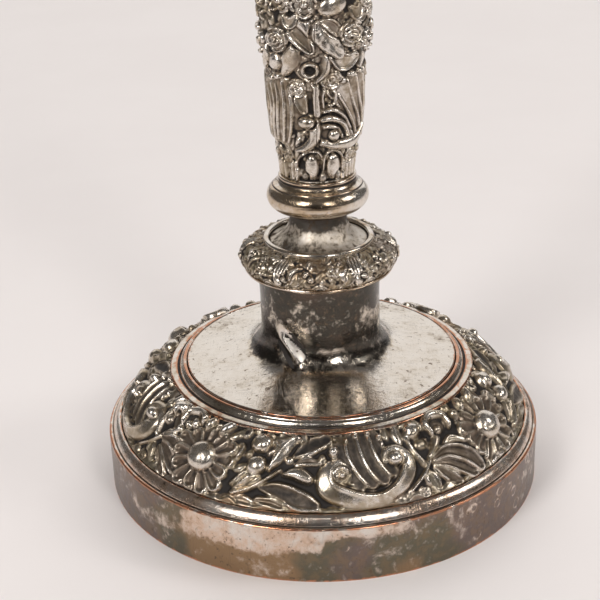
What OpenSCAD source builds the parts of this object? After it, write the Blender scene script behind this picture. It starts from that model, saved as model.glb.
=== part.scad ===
// Altar candlestick in plated sheet metal, stacked on one iron tie rod.
// Every part is turned about Z. The foot stands on z = 0, and the front is towards -Y.
// Profiles are lists of [radius, height] that run upwards with the outside on their right.

/* [Foot] */
// Radius of the foot
foot_r = 75; // [70:0.5:82]
// Height of the foot's upright band
band_h = 19.3; // [15:0.1:24]
// Rise of the stamped border above the band's moulding
border_rise = 17.4; // [14:0.1:20]
// Height of the trumpet, from the edge of the dome to the collar
trumpet_h = 33.1; // [30:0.1:40]
// Radius of the trumpet's neck
neck_r = 20.3; // [18:0.1:22]

/* [Stem] */
// Greatest radius of the stem, before its ornament
stem_r = 17.4; // [15.5:0.1:19]
// Height of the stem
stem_h = 75.2; // [65:0.1:90]
// Greatest radius of the cushion knop below the stem
knop_r = 16.9; // [15:0.1:18.5]

/* [Socket] */
// Radius of the candle that the nozzle takes
candle_r = 11; // [10:0.1:11.5]
// Depth of the nozzle's tube
tube_depth = 34; // [28:0.5:36]
// Radius of the drip pan
pan_r = 28; // [26:0.5:32]

/* [Sheet] */
// Thickness of the plated sheet
sheet_t = 0.6; // [0.5:0.05:0.8]

/* [Hidden] */
$fn = 144;

silver = "silver";
iron = "dimgray";

wire_t = 1.2;        // thickness of the flat plates and rings that close the stack
flange_w = 5;        // width of the band's turned-in foot
rod_r = 3;           // tie rod
rod_hole_r = 3.5;    // its holes through plates
well_r = 12;         // access well of the lower nut
nut_flat = 10;       // across the flats of both nuts
nut_h = 5;
washer_t = 1.5;
pan_gap = 0.05;      // the pan rests this far above the socket's rim
slip = 0.35;         // nozzle tube in its liner

// Heights of the stack's joints, from the foot up
moulding_z = band_h + 2.9;
well_z = moulding_z + border_rise;
dome_z = well_z + 2.5;
collar_z = dome_z + trumpet_h + 0.6;
wreath_z = collar_z + wire_t;
rim_z = wreath_z + 8.7;
spool_top_z = rim_z + 10.7;
knop_top_z = spool_top_z + 11;
stem_z = knop_top_z + 1.4;
stem_top_z = stem_z + stem_h;
upper_z = stem_top_z + 1.6;
upper_plate_z = upper_z + 11.4;
upper_wreath_z = upper_plate_z + 1;
upper_rim_z = upper_wreath_z + 6.5;
upper_knop_z = upper_rim_z + 8;
socket_z = upper_knop_z + 7;
socket_top_z = socket_z + 41;
pan_z = socket_top_z + 1.6 + pan_gap;

border_r = foot_r - 4.6;
well_r_out = 0.7 * foot_r;
dome_r = well_r_out - 6.1;
collar_r = neck_r + 5;
rim_r_out = neck_r - 1.7;
rim_r_in = neck_r - 3.7;
spool_r = 9.6;
spool_lip_r = 11.8;
tube_r = candle_r + sheet_t;
liner_r = tube_r + slip;
liner_r_out = liner_r + sheet_t;
border_start_r = pan_r - 7.5;

// An arc as a list of points, from one angle to another
function arc(c, r, from, to, n = 12) = [
    for (i = [0 : n]) let (a = from + (to - from) * i / n) c + r * [cos(a), sin(a)]
];

// A cubic curve as a list of points
function curve(a, b, c, d, n = 16) = [
    for (i = [0 : n]) let (t = i / n, u = 1 - t)
        u * u * u * a + 3 * u * u * t * b + 3 * u * t * t * c + t * t * t * d
];

// The inward direction of a profile at one of its points
function inward(p, i) =
    let (d = p[min(i + 1, len(p) - 1)] - p[max(i - 1, 0)]) [-d.y, d.x] / norm(d);

// A profile moved inwards by t and reversed; first and last give its end faces their directions
function lining(p, t, first, last) = [
    for (i = [len(p) - 1 : -1 : 0])
        p[i] + t * (i == 0 ? first : i == len(p) - 1 ? last : inward(p, i))
];

DOWN = [0, -1];
IN = [-1, 0];

module turned(points) rotate_extrude() polygon(points);

// A shell of sheet t under an outer profile
module shell(outer, t, first, last)
    turned(concat(outer, lining(outer, t, first, last)));

// A flat disc with a hole and a half-round edge
module edged_plate(hole, r, z, t)
    turned(concat([[hole, z]], arc([r - t / 2, z + t / 2], t / 2, -90, 90), [[hole, z + t]]));

// A flat-bottomed ring with a half-round top
module bead_ring(r_in, r_out, z, h)
    turned(concat(
        [[r_in, z], [r_out, z]],
        arc([(r_in + r_out) / 2, z + h - (r_out - r_in) / 2], (r_out - r_in) / 2, 0, 180, 16)
    ));

// A ring with a half-round outside
module wire_ring(r_in, r_out, z, h)
    turned(concat([[r_in, z]], arc([r_out - h / 2, z + h / 2], h / 2, -90, 90), [[r_in, z + h]]));

module washer(r, z, t)
    translate([0, 0, z])
        difference() {
            cylinder(h = t, r = r);
            translate([0, 0, -1]) cylinder(h = t + 2, r = rod_hole_r);
        }

module hex_nut(z)
    translate([0, 0, z])
        difference() {
            cylinder(h = nut_h, d = nut_flat / cos(30), $fn = 6);
            translate([0, 0, -1]) cylinder(h = nut_h + 2, r = rod_r);
        }

// ---- Foot ----

module felt_pad() color("darkgreen")
    translate([0, 0, 0.1]) cylinder(h = sheet_t - 0.1, r = foot_r - flange_w - 0.3);

module base_plate() color(iron)
    translate([0, 0, sheet_t])
        difference() {
            cylinder(h = 1.8, r = foot_r - sheet_t - 0.4);
            translate([0, 0, -1]) cylinder(h = 4, r = well_r);
        }

module foot_nut() color(iron) hex_nut(9);

module foot_washer() color(iron) washer(well_r - 1, 9 + nut_h, washer_t);

// Pitch that fills and weights the foot, with a well for the nut and a hole for the rod
module loading() color("saddlebrown")
    turned([
        [well_r, sheet_t + 1.8],
        [foot_r - 1.4, sheet_t + 1.8],
        [foot_r - 1.4, band_h - 2.4],
        [border_r - 1.4, moulding_z - 1.2],
        [well_r_out - 0.6, well_z - 1.6],
        [dome_r, well_z - 0.8],
        [dome_r * 0.62, dome_z + 0.2],
        [neck_r - 2.5, dome_z + 2.6],
        [rod_hole_r, dome_z + 2.6],
        [rod_hole_r, 9 + nut_h + washer_t],
        [well_r, 9 + nut_h + washer_t]
    ]);

module tie_rod() color(iron)
    translate([0, 0, 7]) cylinder(h = socket_z + 7.4 - 7, r = rod_r);

// Upright band with a rounded top edge and a turned-in foot
module foot_band() color(silver) {
    edge = 1.2;
    c = [foot_r - edge, band_h - edge];
    turned(concat(
        [[foot_r - flange_w, 0], [foot_r, 0]],
        arc(c, edge, 0, 90, 8),
        [[foot_r - 1.9, band_h], [foot_r - 1.9, band_h - sheet_t]],
        arc(c, edge - sheet_t, 90, 0, 8),
        [[foot_r - sheet_t, sheet_t], [foot_r - flange_w, sheet_t]]
    ));
}

// Quarter-round moulding between the band and the border
module foot_moulding() color(silver)
    shell(concat(
        curve([foot_r - 1.3, band_h], [foot_r - 1.3, band_h + 1.7],
              [foot_r - 1.9, band_h + 2.8], [foot_r - 3.3, band_h + 3.1], 10),
        [[border_r, moulding_z]]
    ), 0.5, IN, DOWN);

border_bulge = [2.3, 2.35];
module foot_border() color(silver) {
    a = [border_r, moulding_z];
    d = [well_r_out, well_z];
    shell(curve(a, a + (d - a) / 3 + border_bulge, a + (d - a) * 2 / 3 + border_bulge, d, 20),
          sheet_t, DOWN, DOWN);
}

// Flat fillet, hollow and bead that frame the dome
module well_ring() color(silver)
    turned(concat(
        [[dome_r, well_z - 0.6], [well_r_out, well_z - 0.6], [well_r_out, well_z]],
        [[well_r_out - 0.1, well_z + 0.3], [well_r_out - 0.5, well_z + 0.6]],
        [[well_r_out - 2.1, well_z + 0.85], [well_r_out - 2.5, well_z + 0.7]],
        [[well_r_out - 2.7, well_z + 0.3], [well_r_out - 3, well_z + 0.3]],
        curve([well_r_out - 3.2, well_z + 0.5], [well_r_out - 3.5, well_z + 1.5],
              [well_r_out - 4, well_z + 2.1], [well_r_out - 4.5, well_z + 2.3], 6),
        arc([well_r_out - 5.2, well_z + 2.1], 0.75, 20, 150, 8),
        [[dome_r, well_z + 2.3]]
    ));

// Dome and trumpet raised from one sheet
module foot_trumpet() color(silver) {
    lip_z = dome_z + trumpet_h;
    shell(concat(
        [[dome_r, dome_z - 0.2], [dome_r - 0.1, dome_z + 0.35], [dome_r - 0.5, dome_z + 0.6]],
        curve([dome_r - 0.9, dome_z + 0.65], [neck_r + 5.7, dome_z + 2.9],
              [neck_r, dome_z + 2.5], [neck_r, dome_z + 14], 28),
        curve([neck_r, dome_z + 20], [neck_r, dome_z + 26],
              [neck_r + 0.2, dome_z + 29], [neck_r + 0.5, lip_z - 0.8], 8),
        [[neck_r + 1.2, lip_z - 0.1], [neck_r + 1.2, lip_z + 0.6]]
    ), 0.7, DOWN, IN);
}

// ---- Collar and lower knop ----

module collar_plate() color(silver) edged_plate(rod_hole_r, collar_r, collar_z, wire_t);

module collar_wreath() color(silver)
    shell(curve([collar_r - 0.6, wreath_z], [collar_r + 3.3, wreath_z + 2.2],
                [collar_r + 0.2, wreath_z + 8], [rim_r_out, rim_z], 20),
          sheet_t, IN, DOWN);

module collar_rim() color(silver) bead_ring(rim_r_in, rim_r_out, rim_z - 0.8, 1.9);

// Dished saucer that rises to a waist and a small lip
module neck_spool() color(silver)
    shell(concat(
        curve([rim_r_in, rim_z - 0.3], [rim_r_in - 3.6, rim_z + 0.1],
              [spool_r + 1, rim_z + 2.9], [spool_r + 0.2, rim_z + 5.9], 14),
        curve([spool_r, rim_z + 6.7], [spool_r - 0.2, rim_z + 7.9],
              [spool_r - 0.2, rim_z + 8.9], [spool_r + 0.6, rim_z + 9.9], 8),
        [[spool_lip_r, rim_z + 10.2], [spool_lip_r, spool_top_z]]
    ), sheet_t, DOWN, IN);

// Cushion knop with a lip below and a hollow neck above
module lower_knop() color(silver) {
    z = spool_top_z;
    r = 4.3;
    c = [knop_r - r, z + 4.9];
    shell(concat(
        [[spool_lip_r, z], [spool_lip_r + 0.7, z + 0.1], [spool_lip_r + 0.9, z + 0.5]],
        arc(c, r, -68, 60, 20),
        curve(c + r * [cos(60), sin(60)] + [-0.1, 0.3], [knop_r - 3, z + 9.3],
              [12.9, z + 9.6], [12.6, knop_top_z], 8)
    ), sheet_t, IN, IN);
}

// ---- Stem ----

module stem_foot_ring() color(silver) wire_ring(10.6, 12.9, knop_top_z, 1.4);

// The stem's outside: a small calyx, the vase and the shoulder
stem_profile = concat(
    curve([11.6, stem_z], [11.7, stem_z + 2.7], [12, stem_z + 5.7], [12.7, stem_z + 8.2], 6),
    curve([12.9, stem_z + 8.6], [14.2, stem_z + 15], [14.6, stem_z + 25],
          [stem_r - 1.8, stem_z + 32], 12),
    curve([stem_r - 1.75, stem_z + 32.6], [stem_r - 0.4, stem_z + 41],
          [stem_r, stem_z + 47], [stem_r, stem_z + 53], 12),
    curve([stem_r, stem_z + 53.6], [stem_r, stem_z + 63],
          [stem_r - 2, stem_top_z - 5], [10.2, stem_top_z], 18)
);

module half(side) rotate([0, 0, side * 90])
    rotate_extrude(angle = 180)
        polygon(concat(stem_profile, lining(stem_profile, sheet_t, IN, IN)));

module stem_half_left() color(silver) half(1);
module stem_half_right() color(silver) half(-1);

module stem_top_ring() color(silver) wire_ring(9, 11.2, stem_top_z, 1.6);

// ---- Upper neck, wreath and knop ----

module upper_spool() color(silver)
    shell(concat(
        curve([9.8, upper_z], [7.6, upper_z + 1.6], [7, upper_z + 4.5], [7.2, upper_z + 7.4], 12),
        curve([7.3, upper_z + 7.9], [7.6, upper_z + 9.2], [8.6, upper_z + 10.4],
              [10.4, upper_z + 10.8], 8),
        [[10.4, upper_plate_z]]
    ), sheet_t, IN, IN);

module upper_plate() color(silver) edged_plate(rod_hole_r, 15.2, upper_plate_z, 1);

module upper_wreath() color(silver)
    shell(curve([14.6, upper_wreath_z], [18, upper_wreath_z + 1.8],
                [15.4, upper_wreath_z + 6], [11, upper_rim_z], 16),
          sheet_t, IN, DOWN);

module upper_rim() color(silver) bead_ring(9.6, 11, upper_rim_z - 0.8, 1.5);

module socket_spool() color(silver)
    shell(concat(
        curve([9.6, upper_rim_z - 0.3], [7.6, upper_rim_z], [6.7, upper_rim_z + 2],
              [6.6, upper_rim_z + 4.4], 12),
        curve([6.6, upper_rim_z + 5], [6.6, upper_rim_z + 6.4], [7, upper_rim_z + 7],
              [8.2, upper_rim_z + 7.4], 8),
        [[8.4, upper_knop_z]]
    ), sheet_t, DOWN, IN);

module upper_knop() color(silver)
    shell(concat(
        [[8.4, upper_knop_z], [8.9, upper_knop_z + 0.4]],
        arc([8.8, upper_knop_z + 3.5], 2.9, -80, 80, 18),
        [[8.7, upper_knop_z + 6.7], [8.6, socket_z]]
    ), sheet_t, IN, IN);

// ---- Socket ----

// Floor, calyx, waist and flared mouth raised from one sheet
module socket_shell() color(silver) {
    z = socket_z;
    shell(concat(
        [[rod_hole_r, z], [8.6, z]],
        curve([9.4, z + 0.1], [14.5, z + 0.8], [17.6, z + 5.4], [17.3, z + 12], 16),
        curve([17.2, z + 12.8], [16.4, z + 19], [15.2, z + 23], [15.4, z + 28], 12),
        curve([15.5, z + 28.8], [16, z + 34], [17.6, z + 38], [19.4, z + 40.2], 10),
        [[19.4, socket_top_z]]
    ), sheet_t, [0, 1], IN);
}

module socket_washer() color(iron) washer(8, socket_z + sheet_t, 1);

module socket_nut() color(iron) hex_nut(socket_z + sheet_t + 1);

module socket_liner() color(silver)
    translate([0, 0, socket_top_z - tube_depth + 1])
        difference() {
            cylinder(h = tube_depth - 1, r = liner_r_out);
            translate([0, 0, -1]) cylinder(h = tube_depth + 1, r = liner_r);
        }

module socket_rim() color(silver) wire_ring(liner_r, 20.2, socket_top_z, 1.6);

// ---- Nozzle, which lifts out of the socket ----

module nozzle_tube() color(silver) {
    bottom = pan_z + 3.6 - tube_depth;
    turned([
        [candle_r, bottom], [tube_r, bottom], [tube_r, pan_z + 2.6],
        [tube_r + 0.8, pan_z + 3.2], [tube_r + 0.8, pan_z + 3.6], [candle_r, pan_z + 3.6]
    ]);
}

module nozzle_floor() color(silver)
    translate([0, 0, pan_z + 2.8 - tube_depth]) cylinder(h = 0.8, r = tube_r);

module drip_pan() color(silver)
    turned([
        [tube_r, pan_z], [16.5, pan_z], [border_start_r, pan_z + 2],
        [border_start_r, pan_z + 2.9], [16.2, pan_z + 0.9], [tube_r, pan_z + 0.9]
    ]);

// Profile of the pan's border, from its outer edge up and in to the pan
module pan_border() color(silver)
    shell(curve([pan_r, pan_z + 1.2], [pan_r - 0.8, pan_z + 6],
                [pan_r - 5.5, pan_z + 6.2], [border_start_r, pan_z + 2.9], 18),
          sheet_t, IN, DOWN);

module pan_wire() color(silver) wire_ring(pan_r - 1, pan_r + 0.5, pan_z, 1.2);

felt_pad();
base_plate();
foot_nut();
foot_washer();
loading();
tie_rod();
foot_band();
foot_moulding();
foot_border();
well_ring();
foot_trumpet();
collar_plate();
collar_wreath();
collar_rim();
neck_spool();
lower_knop();
stem_foot_ring();
stem_half_left();
stem_half_right();
stem_top_ring();
upper_spool();
upper_plate();
upper_wreath();
upper_rim();
socket_spool();
upper_knop();
socket_shell();
socket_washer();
socket_nut();
socket_liner();
socket_rim();
nozzle_tube();
nozzle_floor();
drip_pan();
pan_border();
pan_wire();
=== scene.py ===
"""The look of the altar candlestick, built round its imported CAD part.

Work is in millimetres until a mesh is made. A profile is an array of (radius, height) rows that
runs upwards with the outside on its right. Ornament is a relief: a flat drawing in which x runs
round the piece and y runs up its profile, pressed out along the profile's normal.
"""

import math

import bpy
import numpy as np
from mathutils import Matrix, Vector


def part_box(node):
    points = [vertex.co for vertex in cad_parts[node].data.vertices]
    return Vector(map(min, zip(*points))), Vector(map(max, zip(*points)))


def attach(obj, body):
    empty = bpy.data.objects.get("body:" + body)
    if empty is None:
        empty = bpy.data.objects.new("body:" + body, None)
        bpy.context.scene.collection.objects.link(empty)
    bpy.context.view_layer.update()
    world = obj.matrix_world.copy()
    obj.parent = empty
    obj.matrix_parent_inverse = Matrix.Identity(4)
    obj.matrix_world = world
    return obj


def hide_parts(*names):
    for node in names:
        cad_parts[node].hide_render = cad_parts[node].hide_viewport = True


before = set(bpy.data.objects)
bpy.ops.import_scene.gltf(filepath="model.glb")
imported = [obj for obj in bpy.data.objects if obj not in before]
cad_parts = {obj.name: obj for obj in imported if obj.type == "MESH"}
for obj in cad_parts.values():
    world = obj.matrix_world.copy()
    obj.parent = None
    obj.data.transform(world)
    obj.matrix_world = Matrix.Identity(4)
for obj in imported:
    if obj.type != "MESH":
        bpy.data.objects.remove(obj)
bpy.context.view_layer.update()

MM = 0.001
TAU = 2 * math.pi
INSIDE_STEP = 1.2  # mm between the points of a sheet's inner face
WARP_EASE = 1.5  # mm from a piece's ends over which its unevenness dies away


# ---------------------------------------------------------------- profiles


def size(node):
    """A CAD node's greatest radius, lowest height and highest height."""
    lo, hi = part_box(node)
    return hi.x / MM, lo.z / MM, hi.z / MM


def curve(a, b, c, d, n=40):
    """A cubic curve as points."""
    t = np.linspace(0, 1, n)[:, None]
    u = 1 - t
    a, b, c, d = (np.array(p, float) for p in (a, b, c, d))
    return u**3 * a + 3 * u * u * t * b + 3 * u * t * t * c + t**3 * d


def arc(centre, r, start, end, n=24):
    """Part of a circle as points, from one angle to another in degrees."""
    a = np.radians(np.linspace(start, end, n))[:, None]
    return np.array(centre, float) + r * np.hstack([np.cos(a), np.sin(a)])


def path(*parts):
    """Points and lists of points joined into one line, without repeats."""
    p = np.vstack([np.atleast_2d(np.array(q, float)) for q in parts])
    keep = np.r_[True, np.hypot(*np.diff(p, axis=0).T) > 1e-5]
    return p[keep]


def lengths(p):
    """How far along the line each of its points is."""
    return np.r_[0, np.cumsum(np.hypot(*np.diff(p, axis=0).T))]


def even(p, step):
    """The line at even steps."""
    s = lengths(p)
    n = max(2, int(round(s[-1] / step)) + 1)
    t = np.linspace(0, s[-1], n)
    return np.column_stack([np.interp(t, s, p[:, 0]), np.interp(t, s, p[:, 1])])


def blur_line(v, k, wrap=False):
    """v averaged over k rows each way, twice."""
    v = np.asarray(v, float)
    for _ in range(2):
        w = np.pad(v, [(k, k)] + [(0, 0)] * (v.ndim - 1), mode="wrap" if wrap else "edge")
        c = np.cumsum(np.concatenate([np.zeros_like(w[:1]), w]), axis=0)
        v = (c[2 * k + 1 :] - c[: -2 * k - 1]) / (2 * k + 1)
    return v


def soften(p, r=0.12):
    """The line with its corners rounded to about r."""
    q = even(p, r / 3)
    s = blur_line(q, 2)
    s[0], s[-1] = q[0], q[-1]
    return s


def thin_out(p, tol=0.004, longest=2.0):
    """The fewest of the line's points that keep its shape to tol, none further apart than longest."""
    keep, stack = {0, len(p) - 1}, [(0, len(p) - 1)]
    while stack:
        i, j = stack.pop()
        if j - i < 2:
            continue
        d = p[j] - p[i]
        n = np.hypot(*d) + 1e-12
        off = np.abs((p[i + 1 : j, 0] - p[i, 0]) * d[1] - (p[i + 1 : j, 1] - p[i, 1]) * d[0]) / n
        k = i + 1 + int(np.argmax(off)) if off.max() > tol else (i + j) // 2
        if off.max() > tol or n > longest:
            keep.add(k)
            stack += [(i, k), (k, j)]
    return p[sorted(keep)]


def normals(p):
    """The outward direction at each of the line's points."""
    t = np.gradient(p, axis=0)
    n = np.column_stack([t[:, 1], -t[:, 0]])
    return n / (np.hypot(*n.T)[:, None] + 1e-12)


# ---------------------------------------------------------------- meshes


def mesh_from(name, co, quads, fields, smooth=True):
    """A mesh object from points in mm, quads and named point values from 0 to 1."""
    me = bpy.data.meshes.new(name)
    me.vertices.add(len(co))
    me.vertices.foreach_set("co", (co * MM).astype(np.float32).ravel())
    me.loops.add(quads.size)
    me.loops.foreach_set("vertex_index", quads.astype(np.int32).ravel())
    me.polygons.add(len(quads))
    me.polygons.foreach_set("loop_start", np.arange(0, quads.size, 4, dtype=np.int32))
    me.polygons.foreach_set("use_smooth", np.ones(len(quads), bool))
    for key, value in fields.items():
        layer = me.attributes.new(key, "FLOAT", "POINT")
        layer.data.foreach_set("value", np.clip(value, 0, 1).astype(np.float32).ravel())
    me.update(calc_edges=True)
    me.validate()
    ob = bpy.data.objects.new(name, me)
    bpy.context.scene.collection.objects.link(ob)
    return ob


def grid_quads(rows, cols, wrap_rows, wrap_cols):
    """The quads of a grid of points, closed on itself either way or open."""
    i = np.arange(rows if wrap_rows else rows - 1)
    j = np.arange(cols if wrap_cols else cols - 1)
    a = i[:, None] * cols + j[None]
    b = i[:, None] * cols + (j[None] + 1) % cols
    c = ((i[:, None] + 1) % rows) * cols + (j[None] + 1) % cols
    d = ((i[:, None] + 1) % rows) * cols + j[None]
    return np.stack([a, b, c, d], -1).reshape(-1, 4)


def spun(r, z, theta):
    """Points of rows of radius and height at each angle; angle 0 is the front."""
    return np.stack([r * np.sin(theta), -r * np.cos(theta), z + 0 * theta], -1).reshape(-1, 3)


def finish_piece(ob, material, nodes, body="stick"):
    """Give a piece its material, its body and the CAD nodes that it takes the place of."""
    ob.data.materials.append(material)
    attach(ob, body)
    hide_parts(*nodes)
    return ob


def lathe(name, outer, sheet, material, body="stick", seg=240, warp=None, end_soiling_and_shade=0.5, nodes=None,
          wear_gain=1.0, solid=None, film=0.3, tone=None):
    """A turned piece: its outer line, closed by the same line moved in by the sheet's thickness, or by solid,
    the rest of its outline. grime is how far darkening reaches in from its two ends, where it meets the next
    piece; that darkening, and the darkening in its hollow bends, is soiling and painted shade. film is how
    tarnished it is, from 0 to 1, as a number or a function of the place. tone leans the tarnish from golden
    brown, at 0.35, through olive to grey, at 0.65."""
    outer = soften(outer)
    n = normals(outer)
    inner = solid if solid is not None else even(outer - n * sheet, INSIDE_STEP)[::-1]
    turn = np.gradient(np.arctan2(n[:, 1], n[:, 0]).round(9))
    turn = (turn + math.pi / 2) % math.pi - math.pi / 2
    s = lengths(outer)
    bend = blur_line(turn / np.maximum(np.gradient(s), 1e-6), 4)
    edge = np.clip(bend * 0.9 - 0.35, 0, 1) * wear_gain
    hollow = np.clip(-bend * 0.8 - 0.2, 0, 1)
    for end in (s, s[-1] - s):
        hollow = np.maximum(hollow, np.exp(-((end / end_soiling_and_shade) ** 2)))
        edge = edge * (1 - 0.8 * np.exp(-((end / (end_soiling_and_shade * 0.6)) ** 2)))
    shape = thin_out(outer)
    at = [int(np.argmin(np.hypot(*(outer - q).T))) for q in shape]
    loop = np.vstack([shape, inner])
    wear = np.r_[edge[at], np.zeros(len(inner))]
    soiling_and_shade = np.r_[hollow[at], np.full(len(inner), 0.8)]
    theta = np.linspace(0, TAU, seg, endpoint=False)[None, :]
    r = np.repeat(loop[:, :1], seg, 1)
    z = np.repeat(loop[:, 1:], seg, 1)
    if warp is not None:
        ease = np.clip(np.minimum(s[at], s[-1] - s[at]) / WARP_EASE, 0, 1)
        ease = np.r_[ease, np.zeros(len(inner))][:, None]
        nn = np.vstack([n[at], np.zeros((len(inner), 2))])
        push = warp(np.repeat(theta, len(loop), 0), r, z) * ease
        r, z = r + push * nn[:, :1], z + push * nn[:, 1:]
    ones = np.ones((1, seg))
    stain = film(theta * np.ones_like(r), r, z) if callable(film) else film + 0 * r
    lean = 0.5 + 0 * r if tone is None else tone(theta * np.ones_like(r))
    ob = mesh_from(
        name, spun(r, z, theta), grid_quads(len(loop), seg, True, True),
        {"wear": wear[:, None] * ones, "soiling_and_shade": soiling_and_shade[:, None] * ones, "film": stain, "tone": lean},
    )
    return finish_piece(ob, material, nodes or [name], body)


def waves(seed, amount, count=9, top=7):
    """Slow unevenness of hand-worked sheet, as a push along the normal in mm."""
    rng = np.random.default_rng(seed)
    terms = [(rng.integers(1, top), rng.uniform(0.02, 0.16), rng.uniform(0, TAU), rng.uniform(0.4, 1))
             for _ in range(count)]
    total = sum(t[3] for t in terms)

    def push(theta, r, z):
        return amount / total * 2.2 * sum(
            w * np.sin(k * theta + f * z * 1.7 + f * r + p) for k, f, p, w in terms)

    return push


# ---------------------------------------------------------------- relief


def smooth_line(points, n):
    """A smooth line of n points through the given ones."""
    p = np.array(points, float)
    if len(p) == 2:
        t = np.linspace(0, 1, n)[:, None]
        return p[0] * (1 - t) + p[1] * t
    q = np.vstack([2 * p[0] - p[1], p, 2 * p[-1] - p[-2]])
    u = np.linspace(0, len(p) - 1 - 1e-9, n)
    i = u.astype(int)
    f = (u - i)[:, None]
    a, b, c, d = q[i], q[i + 1], q[i + 2], q[i + 3]
    return 0.5 * (2 * b + (c - a) * f + (2 * a - 5 * b + 4 * c - d) * f**2
                  + (3 * b - a - 3 * c + d) * f**3)


def wall(q, value, foot=0.3, width=0.07):
    """The value inside an edge that drops steeply to foot."""
    return foot + (value - foot) * np.clip((1 - q) / width, 0, 1) ** 0.5


def rounded(q, t, s):
    return 0.25 + 0.75 * np.sqrt(np.clip(1 - q * q, 0, 1))


def dished(q, t, s):
    """A leaf dished inside a thin rolled rim."""
    return wall(q, 0.36 + 0.12 * q * q + 0.52 * np.exp(-(((q - 0.82) / 0.14) ** 2)), 0.25, 0.08)


def veined(q, t, s):
    """A leaf of two plump halves with a sunk vein."""
    folds = 0.07 * np.cos(TAU * (4 * t - 0.9 * q)) * np.clip(q * 3, 0, 1)
    return wall(q, 0.42 + 0.55 * np.sqrt(np.clip(1 - (1.9 * q - 0.95) ** 2, 0, 1)) + folds, 0.25, 0.12)


def folded(q, t, s):
    """A leaf folded on a sharp rib: one half full, the other hollow."""
    full = 0.45 + 0.55 * np.sqrt(np.clip(1 - s * s, 0, 1))
    hollow = 0.5 + 0.5 * np.clip(1 + s, 0, 1) ** 2.2
    return wall(q, np.where(s > 0, full, hollow), 0.25, 0.1)


def crest(q, t, s):
    """A petal seen from outside its flower: its right-hand edge stands up."""
    return wall(q, 0.3 + 0.7 * (0.5 - 0.5 * s) ** 1.2, 0.2, 0.1)


def gutter(q, t, s):
    return 0.45 + 0.35 * q * q


def cupped(q, t, s):
    """A hollow petal inside a thick rounded rim."""
    return wall(q, 0.3 + 0.7 * np.exp(-(((q - 0.72) / 0.2) ** 2)), 0.2, 0.14)


def rolled(q, t, s):
    """A ribbon that stands up along its left side, with a bead there, and slopes off to its right."""
    bead = 0.16 * np.exp(-(((s - 0.72) / 0.16) ** 2))
    return wall(q, 0.42 + 0.42 * np.clip(0.5 + 0.55 * s, 0, 1) ** 0.8 + bead, 0.2, 0.16)


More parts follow.
